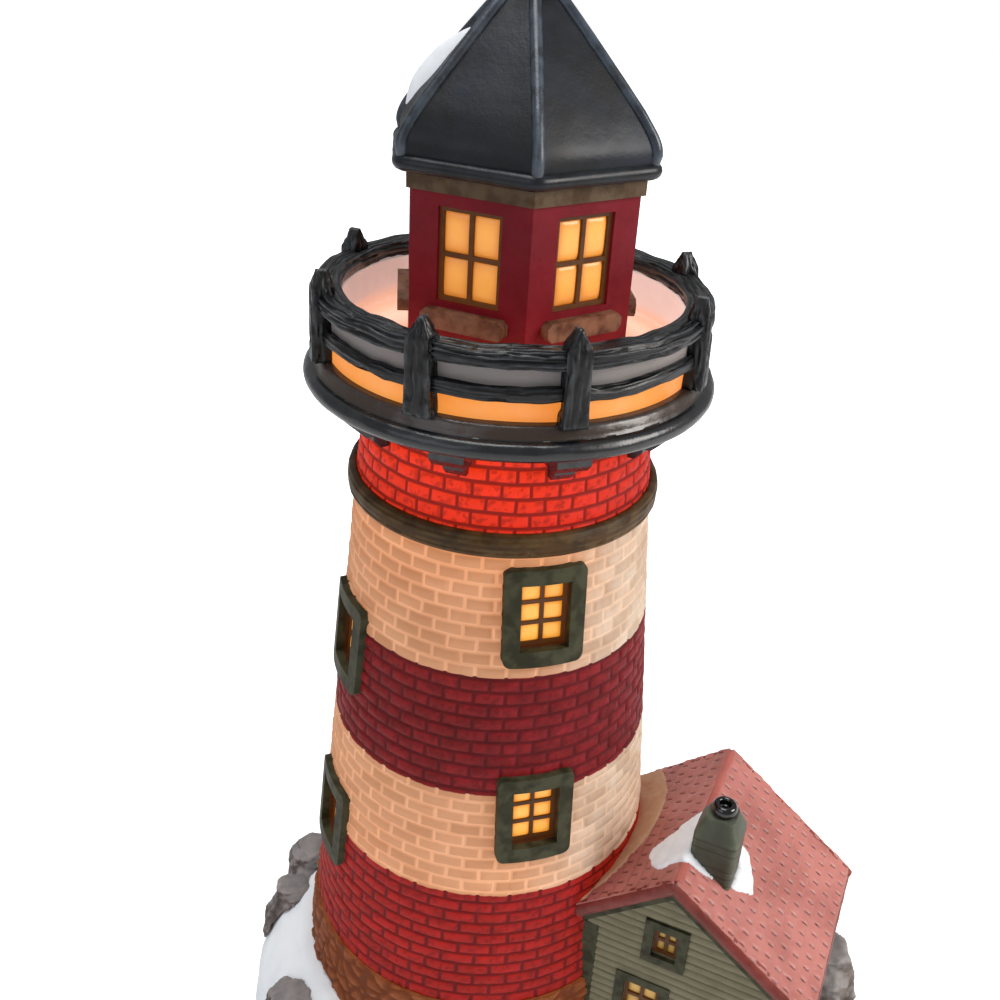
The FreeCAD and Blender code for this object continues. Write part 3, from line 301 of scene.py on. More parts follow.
MOTTLE = Effect("paint_mottle", [Port("Paint", COLOR), Port("Second", COLOR),
                                 Port("Scale", value=90.0), Port("Amount", value=1.0)],
                Port("Color", COLOR), fill_mottle)
TOOTH = Effect("bisque_tooth", [Port("Scale", value=900.0)], Port("Height"), fill_tooth)
WEAR_AND_SHEEN = Effect("edge_wear_and_sheen", [Port("Amount", value=0.5)], Port("Mask"), fill_wear_and_sheen)
GLOW = Effect("inner_glow", [
    Port("Paint", COLOR), Port("Upper", PLACE), Port("Upper Reach", value=0.05),
    Port("Upper Power", value=1.0), Port("Lower", PLACE), Port("Lower Reach", value=0.05),
    Port("Lower Power", value=1.0), Port("Floor", value=0.1)], Port("Light", COLOR), fill_glow)
DUSTING = Effect("snow_dusting", [Port("Amount", value=1.0)], Port("Mask"), fill_dusting)


# Where the light of the two bulbs comes from, in metres.
UPPER_LIGHT = tuple((TOWER + Vector((-1, -6, 206))) * MM)
LOWER_LIGHT = tuple((TOWER + Vector((2, -5, 66))) * MM)


@dataclass(frozen=True)
class Glow:
    """How a painted wall passes the light behind it: its colour, and each bulb's share."""

    color: str
    upper: float = 0.0
    upper_reach: float = 45.0
    lower: float = 0.0
    lower_reach: float = 45.0
    floor: float = 0.0

    def light(self, recipe: Recipe) -> bpy.types.NodeSocket:
        """Colour of the emission that this wall gives off."""
        return GLOW.use(recipe, Paint=tint(self.color), Floor=self.floor,
                        Upper=UPPER_LIGHT, Upper_Power=self.upper,
                        Upper_Reach=self.upper_reach * MM, Lower=LOWER_LIGHT,
                        Lower_Power=self.lower, Lower_Reach=self.lower_reach * MM)


class Surface:
    """A material under way: its recipe and its Principled shader."""

    def __init__(self, name: str) -> None:
        """Starts an empty material.

        Args:
            name: The material's name.
        """
        self.material = bpy.data.materials.new(name)
        self.material.use_nodes = True
        self.recipe = Recipe(self.material.node_tree)
        self.shader = self.material.node_tree.nodes["Principled BSDF"]

    def set(self, **feeds: Feed) -> None:
        """Feeds the shader's sockets, with _ for a space in a name."""
        for name, value in feeds.items():
            self.recipe.feed(self.shader.inputs[name.replace("_", " ")], value)

    def bump(self, height: Feed, depth: float) -> None:
        """Turns a height from 0 to 1 into the shader's normal, 1 being a depth in millimetres."""
        made = self.recipe.node("Bump", {"Height": height, "Distance": depth * MM})
        self.set(Normal=made.outputs[0])


@dataclass(frozen=True)
class Paint:
    """Hand-painted bisque: a mottled coat over a fine tooth, lighter where it stands proud, as
    wear and as a painted highlight.
    """

    name: str
    color: str
    second: str
    mottle: float = 90.0
    amount: float = 0.8
    roughness: float = 0.55
    tooth: float = 0.12
    tooth_scale: float = 900.0
    # Lighter colour of raised edges, and how much of it: wear, and a painted highlight on the
    # glazed pieces.
    wear_and_sheen: str = ""
    wear_and_sheen_amount: float = 0.6
    snow: float = 0.0
    # Colour of the hollow mask: real joints, grain and steps on most pieces, and painted shade in
    # the laps of shingles and clapboards.
    hollow: str = ""
    glow: Glow | None = None
    gloss: float = 0.5

    def material(self) -> bpy.types.Material:
        """Builds the finish."""
        surface = Surface(self.name)
        recipe = surface.recipe
        color = MOTTLE.use(recipe, Paint=tint(self.color), Second=tint(self.second),
                           Scale=self.mottle, Amount=self.amount)
        # Hollows take the hollow colour: joints and grain, and on shingles and clapboards painted
        # shade.
        if self.hollow:
            color = recipe.mix(recipe.mask("hollow"), color, tint(self.hollow))
        # Raised edges take a lighter colour: wear on some pieces, a painted highlight on the
        # glazed ones.
        if self.wear_and_sheen:
            color = recipe.mix(WEAR_AND_SHEEN.use(recipe, Amount=self.wear_and_sheen_amount), color, tint(self.wear_and_sheen))
        if self.snow:
            color = recipe.mix(DUSTING.use(recipe, Amount=self.snow), color, tint("e6ebf0"))
        rough = recipe.spread(recipe.speckle(self.mottle * 1.7), 0.2, 0.8,
                              self.roughness - 0.07, self.roughness + 0.07)
        surface.set(Base_Color=color, Roughness=rough, Specular_IOR_Level=self.gloss)
        surface.bump(TOOTH.use(recipe, Scale=self.tooth_scale), self.tooth)
        if self.glow:
            surface.set(Emission_Color=self.glow.light(recipe), Emission_Strength=1.0)
        return surface.material


@dataclass(frozen=True)
class BrickPaint:
    """The shaft's coats: bands of deep red and cream over carved bricks, lit from behind, with
    painted shade on the left.

    Edges are the heights, in millimetres, at which one band gives way to the next.
    """

    name: str
    edges: tuple[float, float, float, float]
    red: str = "8a141c"
    maroon: str = "741822"
    cream: str = "d3c1ae"
    # Cream painted darker and warmer on the left, as shade away from the key lamp.
    warm: str = "b2896a"

    def band(self, recipe: Recipe, low: float, high: float) -> bpy.types.NodeSocket:
        """Mask of one painted band, its edges a little unsteady.

        Args:
            recipe: The material's recipe.
            low: Height of its lower edge in millimetres.
            high: Height of its upper edge.

        Returns:
            The mask.
        """
        height = recipe.sum("ADD", recipe.coordinate("Z"), recipe.stir(90.0, 2.0, 1.1 * MM))
        soft = 0.15
        above = recipe.spread(height, (low - soft) * MM, (low + soft) * MM)
        below = recipe.spread(height, (high - soft) * MM, (high + soft) * MM, 1.0, 0.0)
        return recipe.times(above, below)

    def material(self) -> bpy.types.Material:
        """Builds the finish."""
        surface = Surface(self.name)
        recipe = surface.recipe
        first, second, third, collar = self.edges
        tone, joint, pit = (recipe.mask(name) for name in ("tone", "joint", "pit"))
        cream = MOTTLE.use(recipe, Paint=tint(self.cream), Second=tint("b99a80"), Scale=120.0,
                           Amount=0.6)
        # Painted shade: the cream turns darker and warmer towards the left, away from the key
        # lamp.
        side = recipe.spread(recipe.coordinate("X"), (TOWER.x + 6.0) * MM,
                             (TOWER.x + 36.0) * MM, 1.0, 0.0)
        cream = recipe.mix(recipe.times(side, 0.85), cream, tint(self.warm))
        # Painted light: the cream is paler in the joints, where the bulbs' light shows through
        # the thinner wall.
        cream = recipe.mix(recipe.times(joint, 0.3), cream, tint("efd9bd"))
        red = MOTTLE.use(recipe, Paint=tint(self.red), Second=tint("6b0f1a"), Scale=150.0,
                         Amount=0.7)
        maroon = MOTTLE.use(recipe, Paint=tint(self.maroon), Second=tint("4b0f19"), Scale=150.0,
                            Amount=0.7)
        reds = recipe.mix(self.band(recipe, second, third), red, maroon)
        dots = recipe.spread(recipe.speckle(620.0, 3.0), 0.54, 0.66, 0.0, 0.5)
        pit = recipe.sum("MAXIMUM", recipe.times(pit, 0.6), dots)
        reds = recipe.mix(recipe.times(joint, 0.6), reds, tint("330911"))
        reds = recipe.mix(recipe.times(pit, 0.75), reds, tint("3a090f"))
        light_band = recipe.sum("ADD", self.band(recipe, first, second),
                                self.band(recipe, third, collar))
        color = recipe.shaded(recipe.mix(light_band, reds, cream),
                              recipe.spread(tone, 0.0, 1.0, 0.84, 1.08))
        through_red = Glow("ff3c12", upper=2.3, upper_reach=25.0, lower=0.36, lower_reach=42.0,
                           floor=0.02).light(recipe)
        through_cream = Glow("ff8e36", upper=0.52, upper_reach=30.0, lower=0.18,
                             lower_reach=50.0, floor=0.16).light(recipe)
        # The glow through the cream is painted weaker towards the lit right.
        through_cream = recipe.mix(recipe.spread(side, 0.0, 1.0, 0.75, 0.0), through_cream,
                                   tint("000000"))
        through_cream = recipe.shaded(through_cream,
                                      recipe.sum("ADD", 1.0, recipe.times(joint, 0.5)))
        shut = recipe.sum("MAXIMUM", recipe.times(pit, 0.8), recipe.times(joint, 0.75))
        through_red = recipe.mix(shut, through_red, tint("2a0503"))
        light = recipe.mix(light_band, through_red, through_cream)
        surface.set(Base_Color=color, Roughness=0.6, Specular_IOR_Level=0.15,
                    Emission_Color=light, Emission_Strength=1.0)
        surface.bump(TOOTH.use(recipe, Scale=1300.0), 0.14)
        return surface.material


@dataclass(frozen=True)
class Parapet:
    """Thin bare wall with painted light: a painted orange glow low down outside, cool grey above,
    and a painted warm white light inside.
    """

    name: str

    def material(self) -> bpy.types.Material:
        """Builds the finish."""
        surface = Surface(self.name)
        recipe = surface.recipe
        right = recipe.coordinate("X")
        flat = recipe.node("CombineXYZ", {0: right, 1: recipe.coordinate("Y")}).outputs[0]
        away = recipe.node("VectorMath", {0: flat, 1: tuple(TOWER * MM)},
                           operation="DISTANCE").outputs["Value"]
        outside = recipe.spread(away, 42.4 * MM, 43.0 * MM)
        height = recipe.sum("ADD", recipe.coordinate("Z"), recipe.stir(60.0, 3.0, 1.6 * MM))
        # Inside, the emission is painted light: orange low down and across the floor, and warm
        # white above, brighter towards the right where the key lamp falls.
        near = recipe.spread(away, 30.0 * MM, 41.0 * MM, 1.0, 0.0)
        low = recipe.sum("MAXIMUM", recipe.spread(height, 226.0 * MM, 232.0 * MM, 1.0, 0.0), near)
        across = recipe.spread(right, (TOWER.x - 30.0) * MM, (TOWER.x + 30.0) * MM)
        inner = recipe.mix(low, recipe.mix(across, tint("9c8a86"), tint("cdb4ac")),
                           tint("e89a6c"))
        high = recipe.spread(height, 230.0 * MM, 232.2 * MM)
        # Outside, the colour is painted orange low down, where the glow comes through, and grey
        # above.
        color = recipe.mix(outside, tint("d2c4c0"), recipe.mix(high, tint("a4642e"),
                                                               tint("8f8a88")))
        patchy = recipe.spread(recipe.speckle(34.0), 0.35, 0.65)
        # The outer emission is a painted orange glow low down, nearly black above.
        outer = recipe.mix(high, recipe.mix(patchy, tint("e8822a"), tint("f29c42")),
                           tint("1c191a"))
        color = MOTTLE.use(recipe, Paint=color, Second=tint("a8938e"), Scale=70.0, Amount=0.3)
        surface.set(Base_Color=color, Roughness=0.6, Specular_IOR_Level=0.3,
                    Emission_Color=recipe.mix(outside, inner, outer), Emission_Strength=0.85)
        surface.bump(TOOTH.use(recipe, Scale=800.0), 0.1)
        return surface.material


@dataclass(frozen=True)
class Amber:
    """Lit window lights: amber sheet that glows hottest in the middle, in uneven patches."""

    name: str
    hot: str = "ffc860"
    deep: str = "f08a1c"
    power: float = 0.9
    sheet: str = "6b3c10"

    def material(self) -> bpy.types.Material:
        """Builds the finish."""
        surface = Surface(self.name)
        recipe = surface.recipe
        share = recipe.sum("ADD", recipe.times(recipe.speckle(70.0), 0.6),
                           recipe.times(recipe.mask("middle"), 0.55))
        glow = recipe.mix(recipe.spread(share, 0.25, 0.85), tint(self.deep), tint(self.hot))
        surface.set(Base_Color=recipe.mix(0.5, glow, tint(self.sheet)), Roughness=0.28,
                    Emission_Color=glow, Emission_Strength=self.power)
        surface.bump(recipe.speckle(220.0), 0.25)
        return surface.material


@dataclass(frozen=True)
class Plain:
    """Moulded plastic, plated metal and glass of the lamp unit."""

    name: str
    color: str
    second: str
    roughness: float
    metallic: float = 0.0
    transmission: float = 0.0
    glow: str = ""
    power: float = 0.0

    def material(self) -> bpy.types.Material:
        """Builds the finish."""
        surface = Surface(self.name)
        recipe = surface.recipe
        color = MOTTLE.use(recipe, Paint=tint(self.color), Second=tint(self.second), Scale=60.0,
                           Amount=0.6)
        grain = recipe.speckle(600.0)
        surface.set(Base_Color=color, Metallic=self.metallic,
                    Transmission_Weight=self.transmission,
                    Roughness=recipe.spread(grain, 0.2, 0.8, self.roughness * 0.8,
                                            self.roughness * 1.2))
        surface.bump(grain, 0.03)
        if self.glow:
            surface.set(Emission_Color=tint(self.glow), Emission_Strength=self.power)
        return surface.material


SNOW = Paint("snow_glaze", "f0f3f6", "dfe5eb", 45.0, 0.6, 0.6, 0.2, 420.0, gloss=0.3)
ROCK = Paint("rock_paint", "7b706a", "4f4641", 140.0, 1.0, 0.75, 0.4, 500.0, wear_and_sheen="a89f98",
             wear_and_sheen_amount=0.4, snow=0.15, gloss=0.2)
FIELDSTONE = Paint("fieldstone_paint", "6b3f26", "47291a", 170.0, 0.9, 0.7, 0.3, 600.0,
                   wear_and_sheen="9a6a44", wear_and_sheen_amount=0.35, hollow="24160f", gloss=0.2,
                   glow=Glow("ff7a30", lower=0.17, lower_reach=60.0))
OLIVE = Paint("olive_trim_paint", "2d2c1a", "26261a", 110.0, 0.5, 0.55, 0.1, wear_and_sheen="6d6d52",
              wear_and_sheen_amount=0.25, gloss=0.18)
MOULDING = Paint("moulding_paint", "4b3213", "2e1f0c", 120.0, 0.8, 0.5, 0.1, wear_and_sheen="8a7048",
                 wear_and_sheen_amount=0.2, gloss=0.22)
CORNICE = Paint("cornice_paint", "4a341d", "3b2914", 90.0, 0.5, 0.6, 0.1, wear_and_sheen="85745a",
                wear_and_sheen_amount=0.25, gloss=0.3)
BARS = Paint("glazing_bar_paint", "43301c", "2a1c10", 240.0, 0.9, 0.55, 0.1, gloss=0.3,
             glow=Glow("ff8a2c", upper=0.06, lower=0.04, floor=0.03))
REVEAL = Paint("reveal_paint", "3d2616", "24160c", 240.0, 0.9, 0.7, 0.1, gloss=0.2,
               glow=Glow("ff7a20", upper=0.05, lower=0.04, floor=0.02))
# On the black glazed deck and fence, the pale bluish colour of raised edges is a painted
# highlight.
DECK = Paint("gallery_paint", "0b0d10", "14171b", 60.0, 0.8, 0.28, 0.1, 700.0, wear_and_sheen="565c64",
             wear_and_sheen_amount=0.2, hollow="36281f", gloss=0.62)
FENCE = Paint("fence_paint", "08090a", "0f1012", 300.0, 0.8, 0.36, 0.1, 700.0, wear_and_sheen="5c636b",
              wear_and_sheen_amount=0.35, hollow="010101", gloss=0.42)
CRIMSON = Paint("crimson_paint", "741420", "5c0f19", 110.0, 0.6, 0.5, 0.08, wear_and_sheen="7d2a33",
                wear_and_sheen_amount=0.2, gloss=0.15, glow=Glow("ff2010", upper=0.05, upper_reach=46.0))
SILL = Paint("sill_paint", "6d442f", "44281a", 200.0, 0.9, 0.5, 0.12, wear_and_sheen="9a7258",
             wear_and_sheen_amount=0.5, gloss=0.3)
# The clapboards' hollow colour is painted shade in the lap under each board.
CLAPBOARD = Paint("clapboard_paint", "807b62", "6c6852", 90.0, 0.6, 0.65, 0.1, wear_and_sheen="8a866f",
                  wear_and_sheen_amount=0.4, hollow="605c48", gloss=0.2)
# The shingles' hollow colour is painted shade, a drop shadow in the creases between shingles and
# under each row.
SHINGLE = Paint("shingle_paint", "b8736a", "9c5a52", 60.0, 0.8, 0.42, 0.12, 500.0, wear_and_sheen="bd8680",
                wear_and_sheen_amount=0.2, hollow="4a2322", gloss=0.4)
RAKE = Paint("rake_paint", "7c2f28", "64241e", 120.0, 0.8, 0.45, 0.12, wear_and_sheen="9c564c",
             wear_and_sheen_amount=0.3, gloss=0.3)
RIDGE = Paint("ridge_paint", "ad6056", "9c5047", 80.0, 0.8, 0.42, 0.12, gloss=0.4)
FILLER = Paint("filler_paint", "bd9d80", "a6866a", 60.0, 0.6, 0.6, 0.08, gloss=0.2,
               glow=Glow("ff7c28", lower=0.07, lower_reach=58.0))
# The light green on the chimney's raised edges and shoulders is a painted highlight.
CHIMNEY = Paint("chimney_paint", "44463a", "54574a", 90.0, 0.7, 0.55, 0.1, wear_and_sheen="7f8a72",
                wear_and_sheen_amount=0.35, hollow="2c2d25", gloss=0.3)
POT = Paint("pot_glaze", "08080a", "121214", 90.0, 0.6, 0.1, 0.02, gloss=0.7)
# On the roof's black glaze, the grey-blue colour of raised edges is a painted highlight,
# strongest on the ribs.
ROOF = Paint("roof_glaze", "080b10", "151d29", 45.0, 1.0, 0.46, 0.16, 380.0, wear_and_sheen="3b4550",
             wear_and_sheen_amount=0.35, gloss=0.32)
RIB = Paint("roof_rib_glaze", "161b23", "262f3b", 60.0, 0.9, 0.34, 0.12, 380.0, wear_and_sheen="5a6775",
            wear_and_sheen_amount=0.5, gloss=0.6)
BEAD = Paint("roof_bead_glaze", "06070a", "0d1015", 60.0, 0.9, 0.36, 0.12, 380.0, wear_and_sheen="3b4550",
             wear_and_sheen_amount=0.2, gloss=0.32)
AMBER = Amber("amber_light", "ffb54e", "e2841e", 0.76)
COTTAGE_AMBER = Amber("cottage_amber_light", "c39c4c", "94702f", 0.5)
PALE_AMBER = Amber("pale_amber_light", "eb9c40", "cc7424", 0.62, "c99a58")
DIM_AMBER = Amber("dim_amber_light", "a88a3c", "6b5220", 0.4)
BRICKS = BrickPaint("brick_paint", (89.8, 122.15, 156.6, 190.0))
CAP_PLASTIC = Plain("lamp_plastic", "ece9e0", "dcd8cc", 0.45)
SPRING = Plain("spring_steel", "b8bbbe", "a0a4a8", 0.3, metallic=1.0)
ZINC = Plain("zinc_plate", "a9acb0", "94989d", 0.38, metallic=1.0)
SLEEVE = Plain("holder_sleeve", "e6dfcf", "d6cdb9", 0.6)
BRASS = Plain("cap_brass", "b99a55", "a3843f", 0.3, metallic=1.0)
BULB = Plain("bulb_glass", "fff1d6", "ffe7bf", 0.08, transmission=0.6, glow="ffb45e", power=1.4)


# ---------------------------------------------------------------- shaping
Placing = Callable[[float, float, float], Vector]
Outline = Sequence[tuple[float, float]]


class Shape:
    """Points and faces of one piece in millimetres, with masks painted on the points."""

    def __init__(self) -> None:
        """Starts an empty shape."""
        self.points: list[Vector] = []
        self.faces: list[tuple[int, ...]] = []
        self.masks: dict[str, dict[int, float]] = {}

    def add(self, point: Vector, **marks: float) -> int:
        """Adds a point.

        Args:
            point: Where it is.
            marks: Values of its masks.

        Returns:
            Its number.
        """
        number = len(self.points)
        self.points.append(point)
        for name, value in marks.items():
            self.masks.setdefault(name, {})[number] = value
        return number

    def sheet(self, numbers: Sequence[Sequence[int]], wrap: bool = False,
              skip: Callable[[Vector], bool] | None = None) -> None:
        """Joins rows of points by faces.

        Args:
            numbers: The points, row by row.
            wrap: Whether each row closes on itself.
            skip: Says which faces are left out, by their middle.
        """
        span = len(numbers[0])
        for low, high in zip(numbers, numbers[1:]):
            for column in range(span if wrap else span - 1):
                after = (column + 1) % span
                corners = (low[column], low[after], high[after], high[column])
                if skip is not None:
                    middle = sum((self.points[corner] for corner in corners), Vector()) / 4
                    if skip(middle):
                        continue
                self.faces.append(corners)

    def tube(self, rings: Sequence[Sequence[Vector]], closed: bool = False,
             marks: Callable[[int, int], dict[str, float]] | None = None) -> None:
        """A skin over rings of points, with lids at its ends or joined end to end.

        Args:
            rings: The rings, each with as many points.
            closed: Whether the last ring joins the first.
            marks: Masks of a point, by its ring and place.
        """
        numbers = [[self.add(point, **(marks(row, place) if marks else {}))
                    for place, point in enumerate(ring)] for row, ring in enumerate(rings)]
        self.sheet(numbers + numbers[:1] if closed else numbers, wrap=True)
        if not closed:
            self.faces += [tuple(reversed(numbers[0])), tuple(numbers[-1])]

    def rod(self, route: Sequence[Vector], radius: float, closed: bool = False,
            across: Vector | None = None) -> None:
        """A round bar along a route, a little uneven.

        Args:
            route: Its middle line.
            radius: Its radius.
            closed: Whether it runs back into its start.
            across: Its level crosswise direction, for a route that stands upright somewhere.
        """
        rings = []
        count, sides = len(route), 14
        for index, point in enumerate(route):
            before = route[index - 1] if closed or index else point
            after = route[(index + 1) % count] if closed or index + 1 < count else point
            ahead = (after - before).normalized()
            level = across or ahead.cross(Vector((0, 0, 1)))
            level = level.normalized() if level.length > 1e-6 else Vector((1, 0, 0))
            rise = level.cross(ahead)
            size = radius * (1 + 0.07 * rough(point, 5.0, 2))
            rings.append([point + level * size * math.cos(FULL * step / sides)
                          + rise * size * math.sin(FULL * step / sides)
                          for step in range(sides)])
        self.tube(rings, closed=closed)

    def build(self, name: str, material: bpy.types.Material,
              angle: float = 0.0) -> bpy.types.Object:
        """Makes the object.

        Args:
            name: The object's name.
            material: Its finish.
            angle: Where over 0, edges sharper than this many degrees stay crisp.

        Returns:
            The object, in the scene.
        """
        mesh = bpy.data.meshes.new(name)
        mesh.from_pydata([point * MM for point in self.points], [], self.faces)
        for mask, values in self.masks.items():
            layer = mesh.attributes.new(mask, "FLOAT", "POINT")
            for number, value in values.items():
                layer.data[number].value = value
        mesh.polygons.foreach_set("use_smooth", [True] * len(mesh.polygons))
        if angle:
            mesh.set_sharp_from_angle(angle=math.radians(angle))
        mesh.materials.append(material)
        mesh.update()
        return linked(name, mesh)

    def cast(self, name: str, material: bpy.types.Material, slot: str, *nodes: str,
             wall: float = 0.0, angle: float = 0.0) -> None:
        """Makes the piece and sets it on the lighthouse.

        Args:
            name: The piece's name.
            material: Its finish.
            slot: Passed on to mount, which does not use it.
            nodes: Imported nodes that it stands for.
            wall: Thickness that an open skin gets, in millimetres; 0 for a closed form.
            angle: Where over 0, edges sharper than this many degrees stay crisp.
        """
        piece = self.build(name, material, angle)
        if wall:
            thicken(piece, wall)
        else:
            outward(piece)
        mount(piece, "lighthouse", slot, *nodes)


def linked(name: str, data: bpy.types.ID) -> bpy.types.Object:
    """An object of some data, in the scene."""
    made = bpy.data.objects.new(name, data)
    bpy.context.scene.collection.objects.link(made)
    return made


def outward(piece: bpy.types.Object) -> None:
    """Turns the faces of a closed piece to look outwards."""
    work = bmesh.new()
    work.from_mesh(piece.data)
    bmesh.ops.recalc_face_normals(work, faces=work.faces)
    work.to_mesh(piece.data)
    work.free()


def thicken(piece: bpy.types.Object, depth: float) -> None:
    """Gives a skin a thickness inwards, in millimetres."""
    slab = piece.modifiers.new("thickness", "SOLIDIFY")
    slab.thickness = depth * MM
    slab.offset = -1.0


def dress(name: str, material: bpy.types.Material, width: float = 0.0,
          segments: int = 3) -> None:
    """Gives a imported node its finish, and rounds its edges.

    Args:
        name: The node's name.
        material: Its finish.
        width: Width of the rounding in millimetres; 0 for none.
        segments: Faces across the rounding.
    """
    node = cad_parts[name]
    node.data.materials.clear()
    node.data.materials.append(material)
    if width:
        soft = node.modifiers.new("rounding", "BEVEL")
        soft.width = width * MM
        soft.segments = segments
        soft.limit_method = "ANGLE"
        soft.angle_limit = math.radians(28)
        soft.harden_normals = False


def mount(piece: bpy.types.Object, body: str, slot: str, *nodes: str) -> None:
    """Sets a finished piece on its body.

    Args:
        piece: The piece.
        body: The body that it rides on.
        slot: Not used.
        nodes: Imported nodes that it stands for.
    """
    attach(piece, body)
    if nodes:
        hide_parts(*nodes)
    LOG.info("%s: %d faces", piece.name, len(piece.data.polygons))


def stray(point: Vector, size: float, seed: float = 0.0) -> float:
    """Smooth noise from -1 to 1 with features of a size in millimetres."""
    return noise.noise(point / size + Vector((seed * 7.3, seed * 3.1, seed * 5.7)))


def rough(point: Vector, size: float, octaves: int = 4, seed: float = 0.0) -> float:
    """Layered noise, about -1 to 1."""
    return noise.fractal(point / size + Vector((seed, seed * 2.3, seed * 4.1)), 0.8, 2.1, octaves,
                         noise_basis="PERLIN_ORIGINAL")


def streaks(point: Vector) -> float:
    """Coarse layered noise for the grain of wood, about -1 to 1."""
    return noise.fractal(point, 0.9, 2.2, 3, noise_basis="PERLIN_ORIGINAL")


def smoothed(value: float, low: float, high: float) -> float:
    """0 below low, 1 above high, and an even step between."""
    share = min(max((value - low) / (high - low), 0.0), 1.0)
    return share * share * (3 - 2 * share)


def along(stations: Outline, steps: int) -> list[tuple[float, float]]:
    """A smooth curve through stations.

    Args:
        stations: Pairs that the curve passes.
        steps: Points on each stretch.

    Returns:
        The curve's points.
    """
    ends = [stations[0], *stations, stations[-1]]
    curve = []
    for first, start, end, last in zip(ends, ends[1:], ends[2:], ends[3:]):
        for step in range(steps):
            share = step / steps
            values = []
            for a, b, c, d in zip(first, start, end, last):
                values.append(0.5 * (2 * b + (c - a) * share
                                     + (2 * a - 5 * b + 4 * c - d) * share ** 2
                                     + (3 * b - a - 3 * c + d) * share ** 3))
            curve.append((values[0], values[1]))
    return curve + [stations[-1]]


def rounded_outline(corners: Outline, radius: float,
                    steps: int) -> list[tuple[float, float]]:
    """Cuts the corners of a closed outline round.

    Args:
        corners: The outline.
        radius: How far from a corner the round starts.
        steps: Points on each round.

    Returns:
        The rounded outline.
    """
    result = []
    for before, corner, after in zip([corners[-1], *corners[:-1]], corners,
                                     [*corners[1:], corners[0]]):
        at = Vector(corner)
        back, ahead = Vector(before) - at, Vector(after) - at
        start = at + back.normalized() * min(radius, back.length / 2)
        end = at + ahead.normalized() * min(radius, ahead.length / 2)
        for step in range(steps + 1):
            share = step / steps
            point = start.lerp(at, share).lerp(at.lerp(end, share), share)
            result.append((point.x, point.y))
    return result


def divided(outline: Outline, parts: int, steps: int) -> list[tuple[float, float]]:
    """Adds points along the sides of a rounded outline, and none on its rounds.

    Args:
        outline: The outline, as rounded_outline gives it.
        parts: Pieces that each side is split into.
        steps: Points on each round, as given to rounded_outline.

    Returns:
        The denser outline.
    """
    result = []
    for index, (start, end) in enumerate(zip(outline, [*outline[1:], outline[0]])):
        pieces = parts if index % (steps + 1) == steps else 1
        result += [(start[0] + (end[0] - start[0]) * part / pieces,
                    start[1] + (end[1] - start[1]) * part / pieces) for part in range(pieces)]
    return result


def rounded_box(half: float, depth: float, radius: float,
                parts: int) -> list[tuple[float, float]]:
    """Dense outline, round the origin, of a box with rounded corners.

    Args:
        half: Half its width.
        depth: Half its depth.
        radius: How far from a corner the round starts.
        parts: Pieces that each side is split into.

    Returns:
        The outline.
    """
    corners = [(-half, -depth), (half, -depth), (half, depth), (-half, depth)]
    return divided(rounded_outline(corners, radius, 3), parts, 3)


def turned(outline: Outline, columns: int,
           wander: Callable[[Vector, float, float], float] | None = None,
           marks: Callable[[float, float], dict[str, float]] | None = None) -> Shape:
    """A ring turned round the tower's axis from its cross-section.

    Args:
        outline: Closed outline of radius and height.
        columns: Steps round the axis.
        wander: How far a point stands out, by its place, radius and height.
        marks: Masks of a point, by its radius and height.

    Returns:
        The shape.
    """
    shape = Shape()
    rings = []
    for column in range(columns):
        azimuth = FULL * column / columns
        ring = []
        for radius, height in outline:
            point = round_tower(radius, azimuth, height)
            shift = wander(point, radius, height) if wander else 0.0
            ring.append(round_tower(radius + shift, azimuth, height + shift * 0.4))
        rings.append(ring)
    shape.tube(rings, closed=True,
               marks=(lambda row, spot: marks(*outline[spot])) if marks else None)
    return shape


def pillow(shape: Shape, place: Placing, width: float, tall: float, swell: float,
           steps: int) -> None:
    """One softly domed light of a window, with rounded corners.

    Args:
        shape: The shape that takes it.
        place: Turns (right, up, out) on the window into a point.
        width: Its width.
        tall: Its height.
        swell: How far its middle stands out.
        steps: Half the number of its rows.
    """
    rows = []
    for row in range(-steps, steps + 1):
        line = []
        for column in range(-steps, steps + 1):
            x, y = column / steps, row / steps
            squeeze = (1 - 0.10 * y ** 8, 1 - 0.07 * x ** 8)
            lift = (1 - x ** 6) * (1 - y ** 6)
            line.append(shape.add(place(x * width / 2 * squeeze[0], y * tall / 2 * squeeze[1],
                                        swell * lift), middle=(1 - x * x) * (1 - y * y)))
        rows.append(line)
    shape.sheet(rows)
    back = [[shape.add(place(column / steps * width / 2, row / steps * tall / 2, -0.4),
                       middle=0.0) for column in (-steps, steps)] for row in (-steps, steps)]
    shape.faces.append((back[0][0], back[1][0], back[1][1], back[0][1]))
    rim = (rows[0], [row[-1] for row in rows], rows[-1][::-1], [row[0] for row in rows][::-1])
    corners = (back[0][0], back[0][1], back[1][1], back[1][0])
    for side, start, end in zip(rim, corners, corners[1:] + corners[:1]):
        shape.faces.append((start, end, *side[::-1]))


@dataclass(frozen=True)
class Glazing:
    """Size of a window's glazed hole in millimetres, and the lights that fill it."""

    width: float
    tall: float
    rows: int = 2
    columns: int = 2
    bar: float = 1.0
    lap: float = 0.4
    swell: float = 0.5
    steps: int = 5

    def fill(self, shape: Shape, place: Placing) -> None:
        """Makes all the lights of one window.

        Args:
            shape: The shape that takes them.
            place: Turns (right, up, out) from the window's middle into a point.
        """
        width = (self.width - (self.columns + 1) * self.bar) / self.columns
        tall = (self.tall - (self.rows + 1) * self.bar) / self.rows
        for column in range(self.columns):
            for row in range(self.rows):
                across = (column - (self.columns - 1) / 2) * (width + self.bar)
                rise = (row - (self.rows - 1) / 2) * (tall + self.bar)
                pillow(shape, lambda right, up, out: place(across + right, rise + up, out),
                       width + self.lap, tall + self.lap, self.swell, self.steps)


